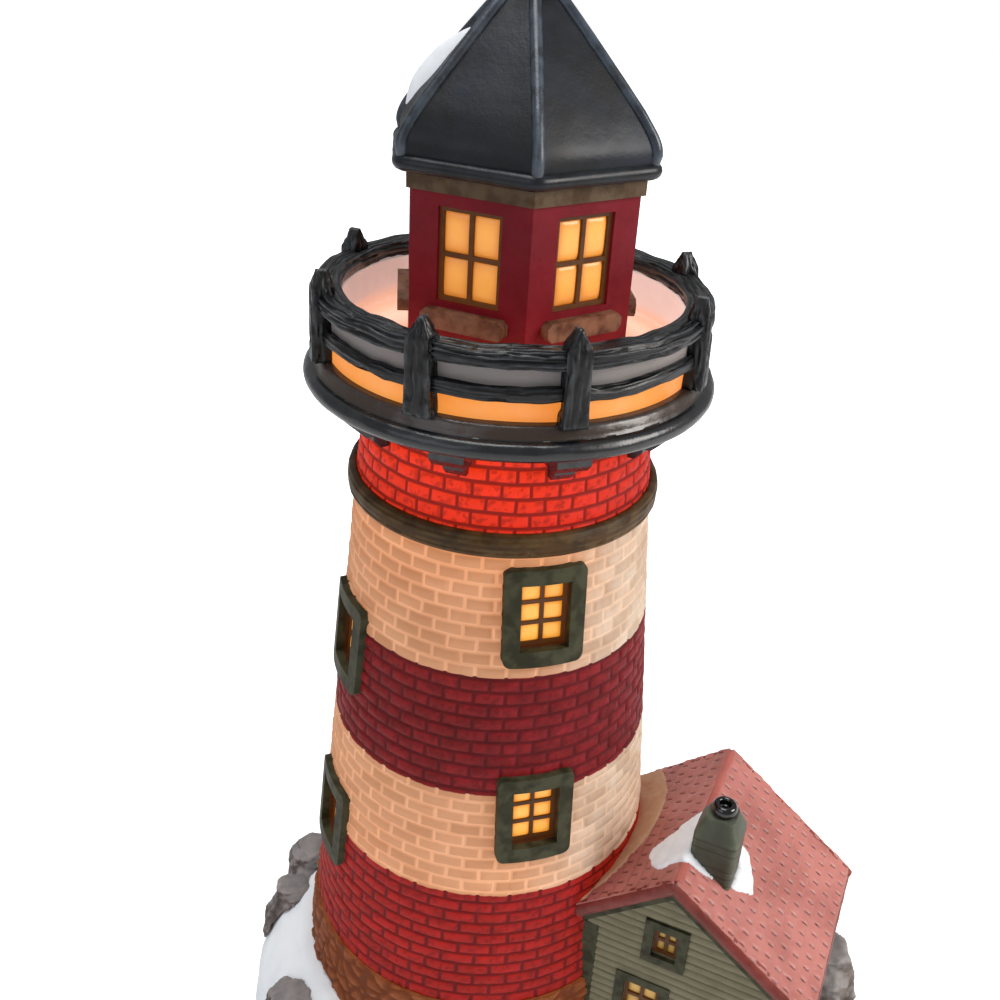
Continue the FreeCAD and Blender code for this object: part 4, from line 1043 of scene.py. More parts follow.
def recast(node: str, name: str, grain: float, smoothing: int,
           wander: Callable[[Vector, Vector], float],
           material: bpy.types.Material) -> bpy.types.Object:
    """A copy of a packed casting, even-grained, softened and with an uneven surface.

    Args:
        node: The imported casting.
        name: Name of the copy.
        grain: Size of its new faces in millimetres.
        smoothing: Rounds of softening.
        wander: How far a point moves out, by its place and normal.
        material: Its finish.

    Returns:
        The copy, in the scene.
    """
    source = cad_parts[node]
    mesh = source.data.copy()
    mesh.name = name
    mesh.transform(source.matrix_world)
    piece = linked(name, mesh)
    remesh = piece.modifiers.new("grain", "REMESH")
    remesh.mode = "VOXEL"
    remesh.voxel_size = grain * MM
    remesh.use_smooth_shade = True
    soft = piece.modifiers.new("softening", "SMOOTH")
    soft.iterations = smoothing
    soft.factor = 0.5
    graph = bpy.context.evaluated_depsgraph_get()
    mesh = bpy.data.meshes.new_from_object(piece.evaluated_get(graph))
    piece.modifiers.clear()
    piece.data = mesh
    shifts = [vertex.normal * wander(vertex.co / MM, vertex.normal) * MM
              for vertex in mesh.vertices]
    for vertex, shift in zip(mesh.vertices, shifts):
        vertex.co += shift
    mesh.materials.clear()
    mesh.materials.append(material)
    mesh.polygons.foreach_set("use_smooth", [True] * len(mesh.polygons))
    mesh.update()
    return piece


# ---------------------------------------------------------------- the tower
@dataclass(frozen=True)
class Window:
    """One window of the shaft."""

    name: str
    azimuth: float
    height: float


@dataclass
class Tower:
    """The tapering brick shaft with its stone footing, windows and ring moulding."""

    foot_z: float = 31.5
    footing_top_z: float = 51.0
    top_z: float = 217.5
    reference_r: float = 40.0
    reference_z: float = 156.6
    slope: float = math.tan(LEAN)
    bricks: int = 34
    courses: int = 46
    relief: float = 0.42
    joint: float = 0.3
    soft: float = 0.36
    trim_w: float = 20.0
    trim_tall: float = 25.7
    trim_lap: float = 1.4
    glazing: Glazing = Glazing(12.2, 17.6, rows=3, lap=0.5, swell=0.55, steps=7)
    recess: float = 2.2
    ring_z: float = 192.0
    windows: tuple[Window, ...] = (
        Window("upper_front", math.radians(17.5), 173.4),
        Window("upper_left", math.radians(-66.0), 149.6),
        Window("lower_front", math.radians(17.5), 115.1),
        Window("lower_left", math.radians(-66.0), 90.2))

    def radius(self, height: float) -> float:
        """Outer radius of the shaft at a height."""
        return self.reference_r + self.slope * (self.reference_z - height)

    def behind_trim(self, point: Vector) -> bool:
        """Whether a point of the skin lies behind a window's trim."""
        local = point - TOWER
        for window in self.windows:
            azimuth = math.atan2(local.x, -local.y)
            across = (azimuth - window.azimuth) * self.radius(window.height)
            if (abs(across) < self.trim_w / 2 - self.trim_lap
                    and abs(local.z - window.height) < self.trim_tall / 2 - self.trim_lap):
                return True
        return False

    def brick_skin(self) -> None:
        """Carved bricks in running bond, each a little different, over the plain shaft."""
        course = (self.top_z - self.footing_top_z) / self.courses
        half = FULL / (2 * self.bricks)
        scale = self.radius(135.0)
        steps = [0.0, self.joint / scale, (self.joint + self.soft) / scale, half / 2,
                 half - (self.joint + self.soft) / scale, half - self.joint / scale]
        rises = [0.0, self.joint, self.joint + self.soft, course / 2,
                 course - self.joint - self.soft, course - self.joint]
        dice = random.Random(11)
        tones = [[dice.random() for _ in range(self.bricks)] for _ in range(self.courses + 1)]
        tilts = [[dice.uniform(-0.1, 0.13) for _ in range(self.bricks)]
                 for _ in range(self.courses + 1)]
        shape = Shape()
        rows = []
        for course_index in range(self.courses + 1):
            for rise_index, rise in enumerate(rises):
                height = self.footing_top_z + course_index * course + rise
                if height > self.top_z + 0.01:
                    break
                row = []
                for half_index in range(2 * self.bricks):
                    for step_index, step in enumerate(steps):
                        row.append(self.brick_point(shape, course_index, rise_index, height,
                                                    half_index, step_index,
                                                    half_index * half + step, tones, tilts))
                rows.append(row)
        shape.sheet(rows, wrap=True, skip=self.behind_trim)
        shape.cast("tower_brickwork", BRICKS.material(), "brick_shell", wall=0.9)

    def brick_point(self, shape: Shape, course: int, rise: int, height: float, half: int,
                    step: int, azimuth: float, tones: list[list[float]],
                    tilts: list[list[float]]) -> int:
        """Adds one point of the brick skin.

        Args:
            shape: The skin.
            course: Number of the course.
            rise: Place within the course's height.
            height: Height of the point.
            half: Number of the half brick round the shaft.
            step: Place within the half brick.
            azimuth: Direction of the point.
            tones: Shade of each brick.
            tilts: How far each brick stands out.

        Returns:
            The point's number.
        """
        starts_brick = half % 2 == course % 2
        if starts_brick:
            from_joint = step
        else:
            from_joint = 6 - step if step else 6
        at_joint = (step < 2 and starts_brick) or (step == 5 and not starts_brick)
        in_bed = rise < 2 or rise == 5
        brick = ((half - course % 2) // 2) % self.bricks
        plain = round_tower(self.radius(height), azimuth, height)
        flaw = rough(plain, 2.0, 3)
        pit = smoothed(rough(plain, 1.5, 3, 5.0), 0.22, 0.5)
        if in_bed or at_joint:
            relief, joint, pit = 0.02 + 0.04 * flaw, 1.0, 0.0
        else:
            rounding = 0.8 if from_joint <= 2 or rise in (2, 4) else 1.0
            relief = self.relief * rounding + tilts[course][brick] + 0.09 * flaw - 0.16 * pit
            joint = 0.0
        between = self.footing_top_z + 1 <= height <= self.top_z - 1
        wobble = 0.2 * stray(plain, 6.0, 2.0) if between else 0.0
        return shape.add(round_tower(self.radius(height) + 0.1 + max(relief, 0.0),
                                     azimuth + 0.006 * stray(plain, 5.0, 1.0), height + wobble),
                         joint=joint, pit=pit, tone=tones[course][brick])

    def footing_skin(self) -> None:
        """Fieldstones bedded in dark mortar round the foot."""
        columns, rows = 520, 26
        standing = 0.85
        shape = Shape()
        numbers = []
        for row in range(rows + 1):
            height = self.foot_z + (self.footing_top_z - self.foot_z) * row / rows
            line = []
            for column in range(columns):
                azimuth = FULL * column / columns
                around = azimuth * 50 / 5.4
                cell = Vector((math.cos(azimuth) * 50 / 5.6, math.sin(azimuth) * 50 / 5.6,
                               height / 4.1 + 0.3 * math.sin(around)))
                near, second = noise.voronoi(cell)[0][:2]
                gap = smoothed(second - near, 0.05, 0.3)
                plain = round_tower(self.radius(height) + standing, azimuth, height)
                lump = 0.8 * gap + 0.2 * gap * rough(plain, 3.0, 3)
                line.append(shape.add(round_tower(self.radius(height) + standing + max(lump, 0),
                                                  azimuth, height), hollow=1.0 - gap))
            numbers.append(line)
        shape.sheet(numbers, wrap=True)
        shape.cast("fieldstone_skin", FIELDSTONE.material(), "fieldstone", wall=0.8)

    def ring(self) -> None:
        """The rounded olive moulding between the top bands."""
        inner = self.radius(self.ring_z) - 0.4
        outer = self.radius(self.ring_z) + 2.6
        low, high = self.ring_z - 3, self.ring_z + 3
        outline = rounded_outline([(inner, low), (outer - 0.3, low), (outer, self.ring_z),
                                   (outer - 0.5, high), (inner, high)], 1.7, 5)
        shape = turned(outline, 240, lambda point, radius, height: 0.14 * rough(point, 4.0, 3)
                       if radius > inner + 1 else 0.0)
        shape.cast("ring_moulding_cast", MOULDING.material(), "olive_trim", "ring_moulding")

    def lights(self) -> None:
        """Domed amber lights between the bars of every window, and the trims, their raised edges
        lighter as wear and as a painted highlight.
        """
        amber, trim, bars = AMBER.material(), OLIVE.material(), BARS.material()
        for window in self.windows:
            def place(right: float, up: float, out: float) -> Vector:
                """A point of this window, laid against the shaft's slope."""
                flat = Vector((right, self.recess - out, up))
                flat.rotate(Matrix.Rotation(-LEAN, 3, "X"))
                flat += Vector((0, -self.radius(window.height), window.height))
                flat.rotate(Matrix.Rotation(window.azimuth, 3, "Z"))
                return TOWER + flat

            shape = Shape()
            self.glazing.fill(shape, place)
            piece = shape.build(f"lights_{window.name}", amber)
            mount(piece, "lighthouse", "amber_pane", f"window_pane_{window.name}")
            dress(f"window_frame_{window.name}", trim, 0.7)
            dress(f"window_bars_{window.name}", bars, 0.25)

    def build(self) -> None:
        """Builds the tower's pieces."""
        dress("tower_shell", REVEAL.material())
        dress("stone_footing", FIELDSTONE.material())
        self.brick_skin()
        self.footing_skin()
        self.ring()
        self.lights()


# ---------------------------------------------------------------- the gallery
@dataclass(frozen=True)
class Rail:
    """One rail of the fence: its piece and node, heights, radii, and how unsteady it runs."""

    name: str
    node: str
    low: float
    high: float
    inner: float
    outer: float
    waves: float


@dataclass
class Gallery:
    """Deck with its rolled rim, corbels, the glowing parapet and the grained plank fence."""

    deck_z: float = 225.5
    rails: tuple[Rail, ...] = (
        Rail("top_rail_plank", "fence_top_rail", 237.7, 241.5, 40.3, 46.8, 0.35),
        Rail("mid_rail_plank", "fence_mid_rail", 230.4, 233.7, 43.6, 46.0, 0.5))
    posts: tuple[float, ...] = (-23.2, 17.5, 66.5, 112.0, 157.0, 201.0, 243.0, 289.5)
    post_w: float = 5.7
    post_in: float = 43.0
    post_out: float = 48.2
    tip_z: float = 246.4
    shoulder_z: float = 242.0

    def deck(self) -> None:
        """Floor and step with the fat roll under it, uneven as modelled by hand."""
        outline = [(21.0, 217.5), (46.2, 217.5)]
        for step in range(13):
            angle = math.radians(-95 + 190 * step / 12)
            outline.append((47.35 + 2.15 * math.cos(angle), 220.3 + 2.25 * math.sin(angle)))
        outline += [(46.9, 222.9), (46.6, 223.4), (46.3, 224.6), (45.7, 225.3), (45.0, 225.5),
                    (21.0, 225.5)]
        shape = turned(outline, 360, lambda point, radius, height:
                       0.22 * rough(point, 9.0, 3) if 40 < radius < 49.2 else 0.0,
                       lambda radius, height: {"hollow": 1.0 if height > 222.8 else 0.0})
        shape.cast("gallery_deck_cast", DECK.material(), "gallery_black", "gallery_deck",
                   angle=50)

    def floor(self) -> None:
        """Bare floor inside the parapet, coved up to its foot."""
        outline = [(22.0, 225.45), (40.15, 225.45), (40.15, 228.2), (39.6, 226.9), (38.6, 226.0),
                   (37.0, 225.65), (22.0, 225.6)]
        # The floor takes the parapet's finish, with its painted glow and light.
        turned(outline, 180).cast("gallery_floor_bisque", Parapet("floor_bisque_painted_light").material(),
                                  "gallery_black")

    def plank(self, rail: Rail, material: bpy.types.Material) -> None:
        """One grained rail bent round the gallery.

        Args:
            rail: Its sizes.
            material: Its finish.
        """
        low, high, inner, outer = rail.low, rail.high, rail.inner, rail.outer
        sides = rounded_outline([(inner, low), (outer, low), (outer, high), (inner, high)],
                                min(1.1, (high - low) / 3), 3)
        outline = []
        for start, end in zip(sides, [*sides[1:], sides[0]]):
            pieces = max(1, round(math.dist(start, end) / 0.27))
            outline += [tuple(a + (b - a) * part / pieces for a, b in zip(start, end))
                        for part in range(pieces)]
        columns = 480
        shape = Shape()
        numbers = []
        middle = ((inner + outer) / 2, (low + high) / 2)
        for column in range(columns):
            azimuth = FULL * column / columns
            ring = Vector((math.cos(azimuth), math.sin(azimuth), 0)) * 5.2
            lift = rail.waves * noise.noise(ring + Vector((0, 0, low)))
            swell = 1 + 0.5 * rail.waves * noise.noise(ring * 1.9 + Vector((0, 0, high)))
            line = []
            for radius, height in outline:
                streak = streaks(Vector((radius * 1.5, height * 1.5, azimuth * 2.6)))
                groove = smoothed(-streak, 0.05, 0.3)
                inside = radius < inner + 0.3 and rail.node == "fence_mid_rail"
                shift = 0.0 if inside else 0.16 * streak - 0.42 * groove
                out = middle[0] + (radius - middle[0]) * (1 if inside else 1 + shift / 2.4)
                up = middle[1] + (height - middle[1]) * (swell + shift / 1.9) + lift
                line.append(shape.add(round_tower(out, azimuth, up), hollow=groove))
            numbers.append(line)
        shape.sheet(numbers + numbers[:1], wrap=True)
        shape.cast(rail.name, material, "fence_black", rail.node)

    def post(self, shape: Shape, azimuth: float, seed: int) -> None:
        """One pointed picket with deep upright grain, flared at its foot.

        Args:
            shape: The shape that takes it.
            azimuth: Its direction in degrees.
            seed: Sets its grain.
        """
        turn = math.radians(azimuth)
        out = Vector((math.sin(turn), -math.cos(turn), 0))
        side = Vector((math.cos(turn), math.sin(turn), 0))
        dice = random.Random(40 + seed)
        lean, width = dice.uniform(-0.5, 0.5), self.post_w * dice.uniform(0.94, 1.08)
        rings = []
        marks: list[list[float]] = []
        heights = [self.deck_z + (self.tip_z - self.deck_z) * row / 30 for row in range(31)]
        for height in heights:
            share = (height - self.deck_z) / (self.tip_z - self.deck_z)
            point_in = smoothed(height, self.shoulder_z - 0.6, self.tip_z + 1.4)
            half = width / 2 * (1.09 - 0.14 * smoothed(share, 0.0, 0.25)
                                + 0.05 * smoothed(share, 0.5, 0.78)) * (1 - 0.93 * point_in)
            depth = (self.post_out - self.post_in) / 2 * (1 - 0.5 * point_in)
            centre = (self.post_in + self.post_out) / 2 - 0.5 * share
            ring, line = [], []
            for across, away in rounded_box(half, depth, min(0.9, half * 0.8), 9):
                grain = streaks(Vector((across * 1.5, away * 1.5, height * 0.12 + seed)))
                groove = smoothed(-grain, 0.0, 0.4)
                scale = 1 - 0.17 * groove + 0.05 * grain
                ring.append(TOWER + side * (across * scale + lean * share * 0.8)
                            + out * (centre + away * scale) + Vector((0, 0, height)))
                line.append(groove)
            rings.append(ring)
            marks.append(line)
        shape.tube(rings, marks=lambda row, place: {"hollow": marks[row][place]})

    def fence(self) -> None:
        """Both rails and all the posts."""
        paint = FENCE.material()
        for rail in self.rails:
            self.plank(rail, paint)
        shape = Shape()
        for seed, azimuth in enumerate(self.posts):
            self.post(shape, azimuth, seed)
        shape.cast("fence_pickets", paint, "fence_black", "fence_posts")

    def build(self) -> None:
        """Builds the gallery's pieces."""
        self.deck()
        self.floor()
        self.fence()
        dress("gallery_corbels", DECK.material(), 0.6)
        dress("parapet_wall", Parapet("parapet_bisque_painted_light").material())


# ---------------------------------------------------------------- the lantern room and roof
@dataclass
class Lantern:
    """The six-sided lit room, its sills and cornice, and the bell roof with its finial."""

    corner: float = math.radians(6.0)
    room_r: float = 28.5
    glazing: Glazing = Glazing(15.0, 20.5, swell=0.75, steps=7)
    window_z: float = 252.75
    recess: float = 1.8
    stations: tuple[tuple[float, float], ...] = (
        (31.0, 269.5), (31.2, 275.4), (28.2, 280.4), (23.0, 286.3), (9.8, 300.2), (6.2, 303.6))
    rib_r: float = 1.35
    bead_r: float = 1.7
    bead_z: float = 271.2

    def side_point(self, side: int, right: float, up: float, out: float) -> Vector:
        """A point on one side of the room, by its place across, its height and depth."""
        face = self.room_r * math.cos(math.radians(30))
        middle = self.corner + math.radians(30 + 60 * side)
        away = Vector((math.sin(middle), -math.cos(middle), 0))
        across = Vector((math.cos(middle), math.sin(middle), 0))
        return TOWER + away * (face + out) + across * right + Vector((0, 0, up))

    def lights(self) -> None:
        """Four domed lights in each window."""
        shape = Shape()
        for side in range(6):
            self.glazing.fill(shape, lambda right, up, out: self.side_point(
                side, right, self.window_z + up, out - self.recess))
        piece = shape.build("lantern_lights", PALE_AMBER.material())
        mount(piece, "lighthouse", "amber_pane", "lantern_panes")

    def hip(self, azimuth: float, radius: float, height: float) -> Vector:
        """A point by azimuth, hip radius and height on the six-sided bell."""
        turn = (azimuth - self.corner) % math.radians(60) - math.radians(30)
        flat = math.cos(math.radians(30)) / math.cos(turn)
        return round_tower(radius * flat, azimuth, height)

    def bell(self) -> None:
        """Six smooth sweeping panels, hollow underneath."""
        curve = along(self.stations, 7)
        inner = [(max(radius - 5.4, 1.0), height - 1.0) for radius, height in curve]
        inner[0] = (25.4, 269.5)
        rings = []
        for radius, height in [*reversed(inner), *curve]:
            outside = len(rings) >= len(inner)
            ring = []
            for column in range(120):
                azimuth = FULL * column / 120
                dent = 0.0
                if outside:
                    point = self.hip(azimuth, radius, height)
                    dent = 0.22 * rough(point, 9.0, 2, 3.0) - 0.1
                ring.append(self.hip(azimuth, max(radius + dent, 0.4), height))
            rings.append(ring)
        shape = Shape()
        shape.tube(rings)
        shape.cast("bell_roof_panels", ROOF.material(), "roof_black", "lantern_roof", angle=60)

    def ribs(self) -> None:
        """Rolled ribs down the hips, and the bead round the eave."""
        shape = Shape()
        curve = [(30.2, 269.9), (30.7, 271.6), (31.0, 273.3),
                 *[pair for pair in along(self.stations, 7) if pair[1] > 274.5]]
        for side in range(6):
            azimuth = self.corner + math.radians(60 * side)
            shape.rod([round_tower(radius - 0.5, azimuth, height) for radius, height in curve],
                      self.rib_r, across=Vector((-math.cos(azimuth), -math.sin(azimuth), 0)))
        shape.cast("roof_ribs", RIB.material(), "roof_black", "lantern_roof")
        shape = Shape()
        corners = [round_tower(31.1, self.corner + math.radians(60 * side), 0)
                   for side in range(6)]
        outline = divided(rounded_outline([(corner.x, corner.y) for corner in corners], 1.8, 5),
                          16, 5)
        shape.rod([Vector((x, y, self.bead_z)) for x, y in outline], self.bead_r, closed=True)
        shape.cast("roof_eave_bead", BEAD.material(), "roof_black", "lantern_roof")

    def finial(self) -> None:
        """A squat cap where the ribs meet, with a ball on it."""
        profile = along([(0.02, 304.6), (6.1, 305.0), (6.3, 305.8), (5.2, 307.4), (3.0, 308.7),
                         (1.5, 309.3), (2.3, 310.1), (2.75, 311.6), (2.2, 313.4), (1.0, 314.3),
                         (0.02, 314.5)], 4)
        shape = Shape()
        shape.tube([[round_tower(radius, FULL * step / 40, height) for step in range(40)]
                    for radius, height in profile])
        shape.cast("roof_finial_cast", ROOF.material(), "roof_black", "roof_finial")

    def drift(self) -> None:
        """The soft patch of snow on the left of the bell."""
        curve = along(self.stations, 7)
        steps = 24
        shape = Shape()
        rows = []
        for row in range(-steps, steps + 1):
            y = row / steps
            height = 286.8 + 9.2 * y
            radius = next(low[0] + (high[0] - low[0]) * (height - low[1]) / (high[1] - low[1])
                          for low, high in zip(curve, curve[1:]) if low[1] <= height <= high[1])
            line = []
            for column in range(-steps, steps + 1):
                x = column / steps
                azimuth = math.radians(-109 + 2 * y + 15 * x * math.sqrt(1.02 - y * y))
                point = self.hip(azimuth, radius, height)
                swell = 3.1 * (1 - x * x) * (1 - y * y) ** 0.8 - 0.5 + 0.2 * rough(point, 5.0, 2)
                away = Vector((math.sin(azimuth), -math.cos(azimuth), 0.75)).normalized()
                line.append(shape.add(point + away * swell))
            rows.append(line)
        shape.sheet(rows)
        shape.cast("roof_drift", SNOW.material(), "porcelain_snow", "roof_snow", wall=0.4)

    def build(self) -> None:
        """Builds the lantern room and the roof."""
        dress("lantern_room", CRIMSON.material(), 0.5)
        dress("lantern_window_bars", BARS.material(), 0.3)
        dress("lantern_sills", SILL.material(), 1.1)
        dress("lantern_cornice", CORNICE.material(), 0.8)
        self.lights()
        self.bell()
        self.ribs()
        self.finial()
        self.drift()


# ---------------------------------------------------------------- the base and its rocks
@dataclass
class Base:
    """Snow bank, its rocks, and the boulder beside the cottage."""

    skirt_r: float = 52.0
    rock_top: float = 29.0

    def snow_swell(self, point: Vector, normal: Vector) -> float:
        """How far the snow stands in or out; the inside of the casting stays true."""
        away = (Vector((point.x, point.y, 0)) - TOWER).length
        if normal.z < -0.3 or point.z < 1.2 or (away < self.skirt_r and normal.z < 0.6):
            return 0.0
        fade = smoothed(point.z, 1.0, 6.0)
        return fade * (0.55 * stray(point, 13.0, 1.0) - 0.45 + 0.25 * rough(point, 4.0, 3))

    def build(self) -> None:
        """Builds the base's pieces."""
        snow = recast("base_casting", "snow_bank", 1.15, 4, self.snow_swell, SNOW.material())
        mount(snow, "lighthouse", "porcelain_snow", "base_casting")
        for node, name in (("foot_rocks", "rocks_at_the_foot"), ("yard_boulder", "yard_rock")):
            rock = recast(node, name, 0.8, 3, lambda point, normal:
                          (0.9 * rough(point, 5.0, 4, 2.0) if point.z > 1.0 else 0.0) - 0.1,
                          ROCK.material())
            for vertex in rock.data.vertices:
                over = vertex.co.z - self.rock_top * MM
                if node == "foot_rocks" and over > 0:
                    vertex.co.z -= over * 0.5
            mount(rock, "lighthouse", "painted_rock", node)


# ---------------------------------------------------------------- the keeper's cottage
@dataclass(frozen=True)
class Opening:
    """A window in a cottage wall: the middle of its trim, and the trim's size."""

    along: float
    height: float
    width: float
    tall: float


@dataclass
class Cottage:
    """Clapboard cottage under two shingled slopes, with its chimney and snow."""

    heading: float = math.radians(-23.2)
    ridge_front: tuple[float, float] = (50.38, -48.47)
    ridge_z: float = 100.1
    length: float = 58.0
    eaves: tuple[float, float] = (-26.0, 40.3)
    pitches: tuple[float, float] = (math.tan(math.radians(40.5)), math.tan(math.radians(36.4)))
    walls_u: tuple[float, float] = (-22.0, 35.0)
    walls_v: tuple[float, float] = (2.3, 55.7)
    floor_z: float = 22.0
    slab: float = 3.7
    board: float = 2.7
    trim: float = 2.7
    low_glazing: Glazing = Glazing(10.0, 14.0)
    low_z: float = 50.5
    low_u: tuple[float, float] = (-4.2, 19.4)
    side_v: float = 15.5
    attic_glazing: Glazing = Glazing(6.8, 10.0)
    attic_z: float = 75.8
    attic_u: float = 0.1
    recess: float = 1.6
    course: float = 4.1
    shingle_w: float = 4.0
    chimney_uv: tuple[float, float] = (6.4, 17.3)
    chimney_low: float = 86.0
    chimney_w: float = 12.0
    chimney_course: float = 2.6
    shoulder_z: float = 108.0
    chimney_top: float = 113.4
    chimney_top_w: float = 7.8
    filler_uv: tuple[float, float] = (-62.3, 32.6)
    filler_r: float = 49.5
    shaft_r: float = 40.0
    shaft_z: float = 156.6
    shaft_slope: float = 0.0899
    snow_plan: tuple[tuple[float, float], ...] = (
        (-0.1, -0.5), (0.75, 0.08), (0.5, 0.75), (-0.5, 0.7), (-1.15, -0.1), (-0.8, -0.65))

    def place(self, u: float, v: float, z: float) -> Vector:
        """A point of the cottage in the part's frame."""
        cosine, sine = math.cos(self.heading), math.sin(self.heading)
        return TOWER + Vector((self.ridge_front[0] + u * cosine - v * sine,
                               self.ridge_front[1] + u * sine + v * cosine, z))

    def roof_z(self, u: float) -> float:
        """Height of the roof's face at a distance from the ridge."""
        return self.ridge_z + u * self.pitches[0] if u < 0 else self.ridge_z - u * self.pitches[1]

    def inside_tower(self, point: Vector, margin: float) -> bool:
        """Whether a point lies inside the shaft by more than a margin."""
        local = point - TOWER
        radius = self.shaft_r + self.shaft_slope * (self.shaft_z - local.z)
        return math.hypot(local.x, local.y) < radius - margin

    def clapboards(self, name: str, start: float, end: float, place: Placing,
                   top: Callable[[float], float], windows: Sequence[Opening]) -> None:
        """Lapped boards over one wall.

        Args:
            name: The piece's name.
            start: Where the wall starts, along itself.
            end: Where it ends.
            place: Turns (along, height, out) into a point.
            top: Height of the wall's top along it.
            windows: Windows that the boards stop at.
        """
        columns = max(2, round((end - start) / 1.1))
        highest = max(top(start + (end - start) * column / columns)
                      for column in range(columns + 1))
        courses = math.ceil((highest - self.floor_z) / self.board)
        shape = Shape()
        rows = []
        gone: set[int] = set()
        for course in range(courses):
            low = self.floor_z + course * self.board
            # The dark values paint shade into the lap under each board.
            for rise, out, dark in ((0.0, 0.12, 1.0), (0.08, 0.72, 0.25), (0.45, 0.86, 0.0),
                                    (1.5, 0.6, 0.0), (self.board - 0.06, 0.2, 0.7)):
                row = []
                for column in range(columns + 1):
                    at = start + (end - start) * column / columns
                    wander = 0.22 * noise.noise(Vector((at / 9, course * 1.7, len(name))))
                    point = place(at, low + rise + wander, out)
                    point = point + (place(at, 0, 1) - place(at, 0, 0)) * (
                        0.09 * rough(point, 3.0, 3) * (out > 0.5))
                    number = shape.add(point, hollow=dark)
                    blocked = low + rise > top(at) or any(
                        abs(at - window.along) < window.width / 2 - 0.6
                        and abs(low + rise - window.height) < window.tall / 2 - 0.6
                        for window in windows) or self.inside_tower(point, 1.5)
                    if blocked:
                        gone.add(number)
                    row.append(number)
                rows.append(row)
        shape.sheet(rows)
        shape.faces = [face for face in shape.faces if not all(corner in gone for corner in face)]
        shape.cast(name, CLAPBOARD.material(), "clapboard", wall=0.5)

    def walls(self) -> None:
        """Boards on all four walls."""
        left, right = self.walls_u
        front, back = self.walls_v

        def gable(at: float) -> float:
            """Height of a gable wall at a distance from the ridge."""
            return self.roof_z(at) - self.slab - 0.6

        def opening(at: float, height: float, glazing: Glazing) -> Opening:
            """The trim round one window."""
            return Opening(at, height, glazing.width + 2 * self.trim,
                           glazing.tall + 2 * self.trim)

        attic = opening(self.attic_u, self.attic_z, self.attic_glazing)
        low = [opening(at, self.low_z, self.low_glazing) for at in self.low_u]
        side = opening(self.side_v, self.low_z, self.low_glazing)
        self.clapboards("front_clapboards", left, right,
                        lambda at, z, out: self.place(at, front - out, z), gable, [attic, *low])
        self.clapboards("rear_clapboards", left, right,
                        lambda at, z, out: self.place(at, back + out, z), gable, [attic])
        self.clapboards("right_clapboards", front, back,
                        lambda at, z, out: self.place(right + out, at, z),
                        lambda at: gable(right), [side])
        self.clapboards("left_clapboards", front, back,
                        lambda at, z, out: self.place(left - out, at, z),
                        lambda at: gable(left), [])

    def shingles(self, name: str, side: int) -> None:
        """Rows of scalloped shingles down one slope.

        Args:
            name: The piece's name.
            side: -1 for the left slope, 1 for the right.
        """
        eave = self.eaves[0] if side < 0 else self.eaves[1]
        pitch = self.pitches[0] if side < 0 else self.pitches[1]
        slant = math.sqrt(1 + pitch * pitch)
        run = abs(eave) * slant
        out = Vector((side * pitch, 0, 1)) / slant
        courses = math.ceil(run / self.course)
        steps = (0.0, 0.1, 0.28, 0.4, 0.52, 0.68, 0.82, 0.92)
        columns = round(self.length / 0.34)
        dice = random.Random(5 + side)
        shifts = [dice.uniform(-0.35, 0.35) for _ in range(courses + 1)]
        shape = Shape()
        rows = []
        for course in range(courses):
            for step in steps:
                down = (course + step) * self.course
                if down > run - 0.3:
                    break
                row = []
                for column in range(columns + 1):
                    v = self.length * column / columns
                    row.append(self.shingle_point(shape, side, slant, out, course, step, down, v,
                                                  shifts[course]))
                rows.append(row)
        shape.sheet(rows, skip=lambda middle: self.inside_tower(middle, 1.2)
                    or self.covered(middle))
        if side < 0:
            shape.faces = [face[:1] + face[:0:-1] for face in shape.faces]
        shape.cast(name, SHINGLE.material(), "shingle", wall=0.6)

    def covered(self, point: Vector) -> bool:
        """Whether a point of the roof lies under the filler or the snow by the chimney."""
        local = point - self.place(0, 0, 0)
        cosine, sine = math.cos(self.heading), math.sin(self.heading)
        u, v = local.x * cosine + local.y * sine, local.y * cosine - local.x * sine
        if math.hypot(u - self.filler_uv[0], v - self.filler_uv[1]) < self.filler_r - 1.2:
            return True
        reach = self.chimney_w
        plan = [(self.chimney_uv[0] + reach * across, self.chimney_uv[1] + reach * back)
                for across, back in self.snow_plan]
        sides = [(end[0] - start[0]) * (v - start[1]) - (end[1] - start[1]) * (u - start[0])
                 for start, end in zip(plan, [*plan[1:], plan[0]])]
        return min(sides) > 0

    def shingle_point(self, shape: Shape, side: int, slant: float, out: Vector, course: int,
                      step: float, down: float, v: float, shift: float) -> int:
        """Adds one point of a slope's shingles.

        Args:
            shape: The slope's skin.
            side: -1 or 1.
            slant: Length of the slope to one step sideways.
            out: Its outward direction in (u, v, z).
            course: Number of the row.
            step: Place within the row, from its top edge down.
            down: Distance from the ridge.
            v: Place along the ridge.
            shift: How far this row's shingles are moved along.

        Returns:
            The point's number.
        """
        at = (v + shift * self.shingle_w) / self.shingle_w + 0.5 * (course % 2)
        number = math.floor(at)
        within = abs(at - number - 0.5) * 2
        lift = 0.45 + 0.22 * smoothed(step, 0.0, 0.85)
        crease = (smoothed(within, 0.7, 0.84) * smoothed(step, 0.36, 0.52)
                  * (1 - smoothed(step, 0.84, 0.94)))
        lift = lift - 0.4 * crease + 0.07 * noise.noise(Vector((number, course, 3.3)))
        u = side * down / slant
        base = Vector((u, v, self.roof_z(u)))
        spot = base + out * (lift + 0.12 * rough(self.place(*base), 2.6, 3))
        # Painted shade: the crease between shingles and the foot of each row are darkened as a
        # drop shadow.
        dark = max(crease, smoothed(step, 0.84, 0.92) * 0.12)
        return shape.add(self.place(*spot), hollow=dark)

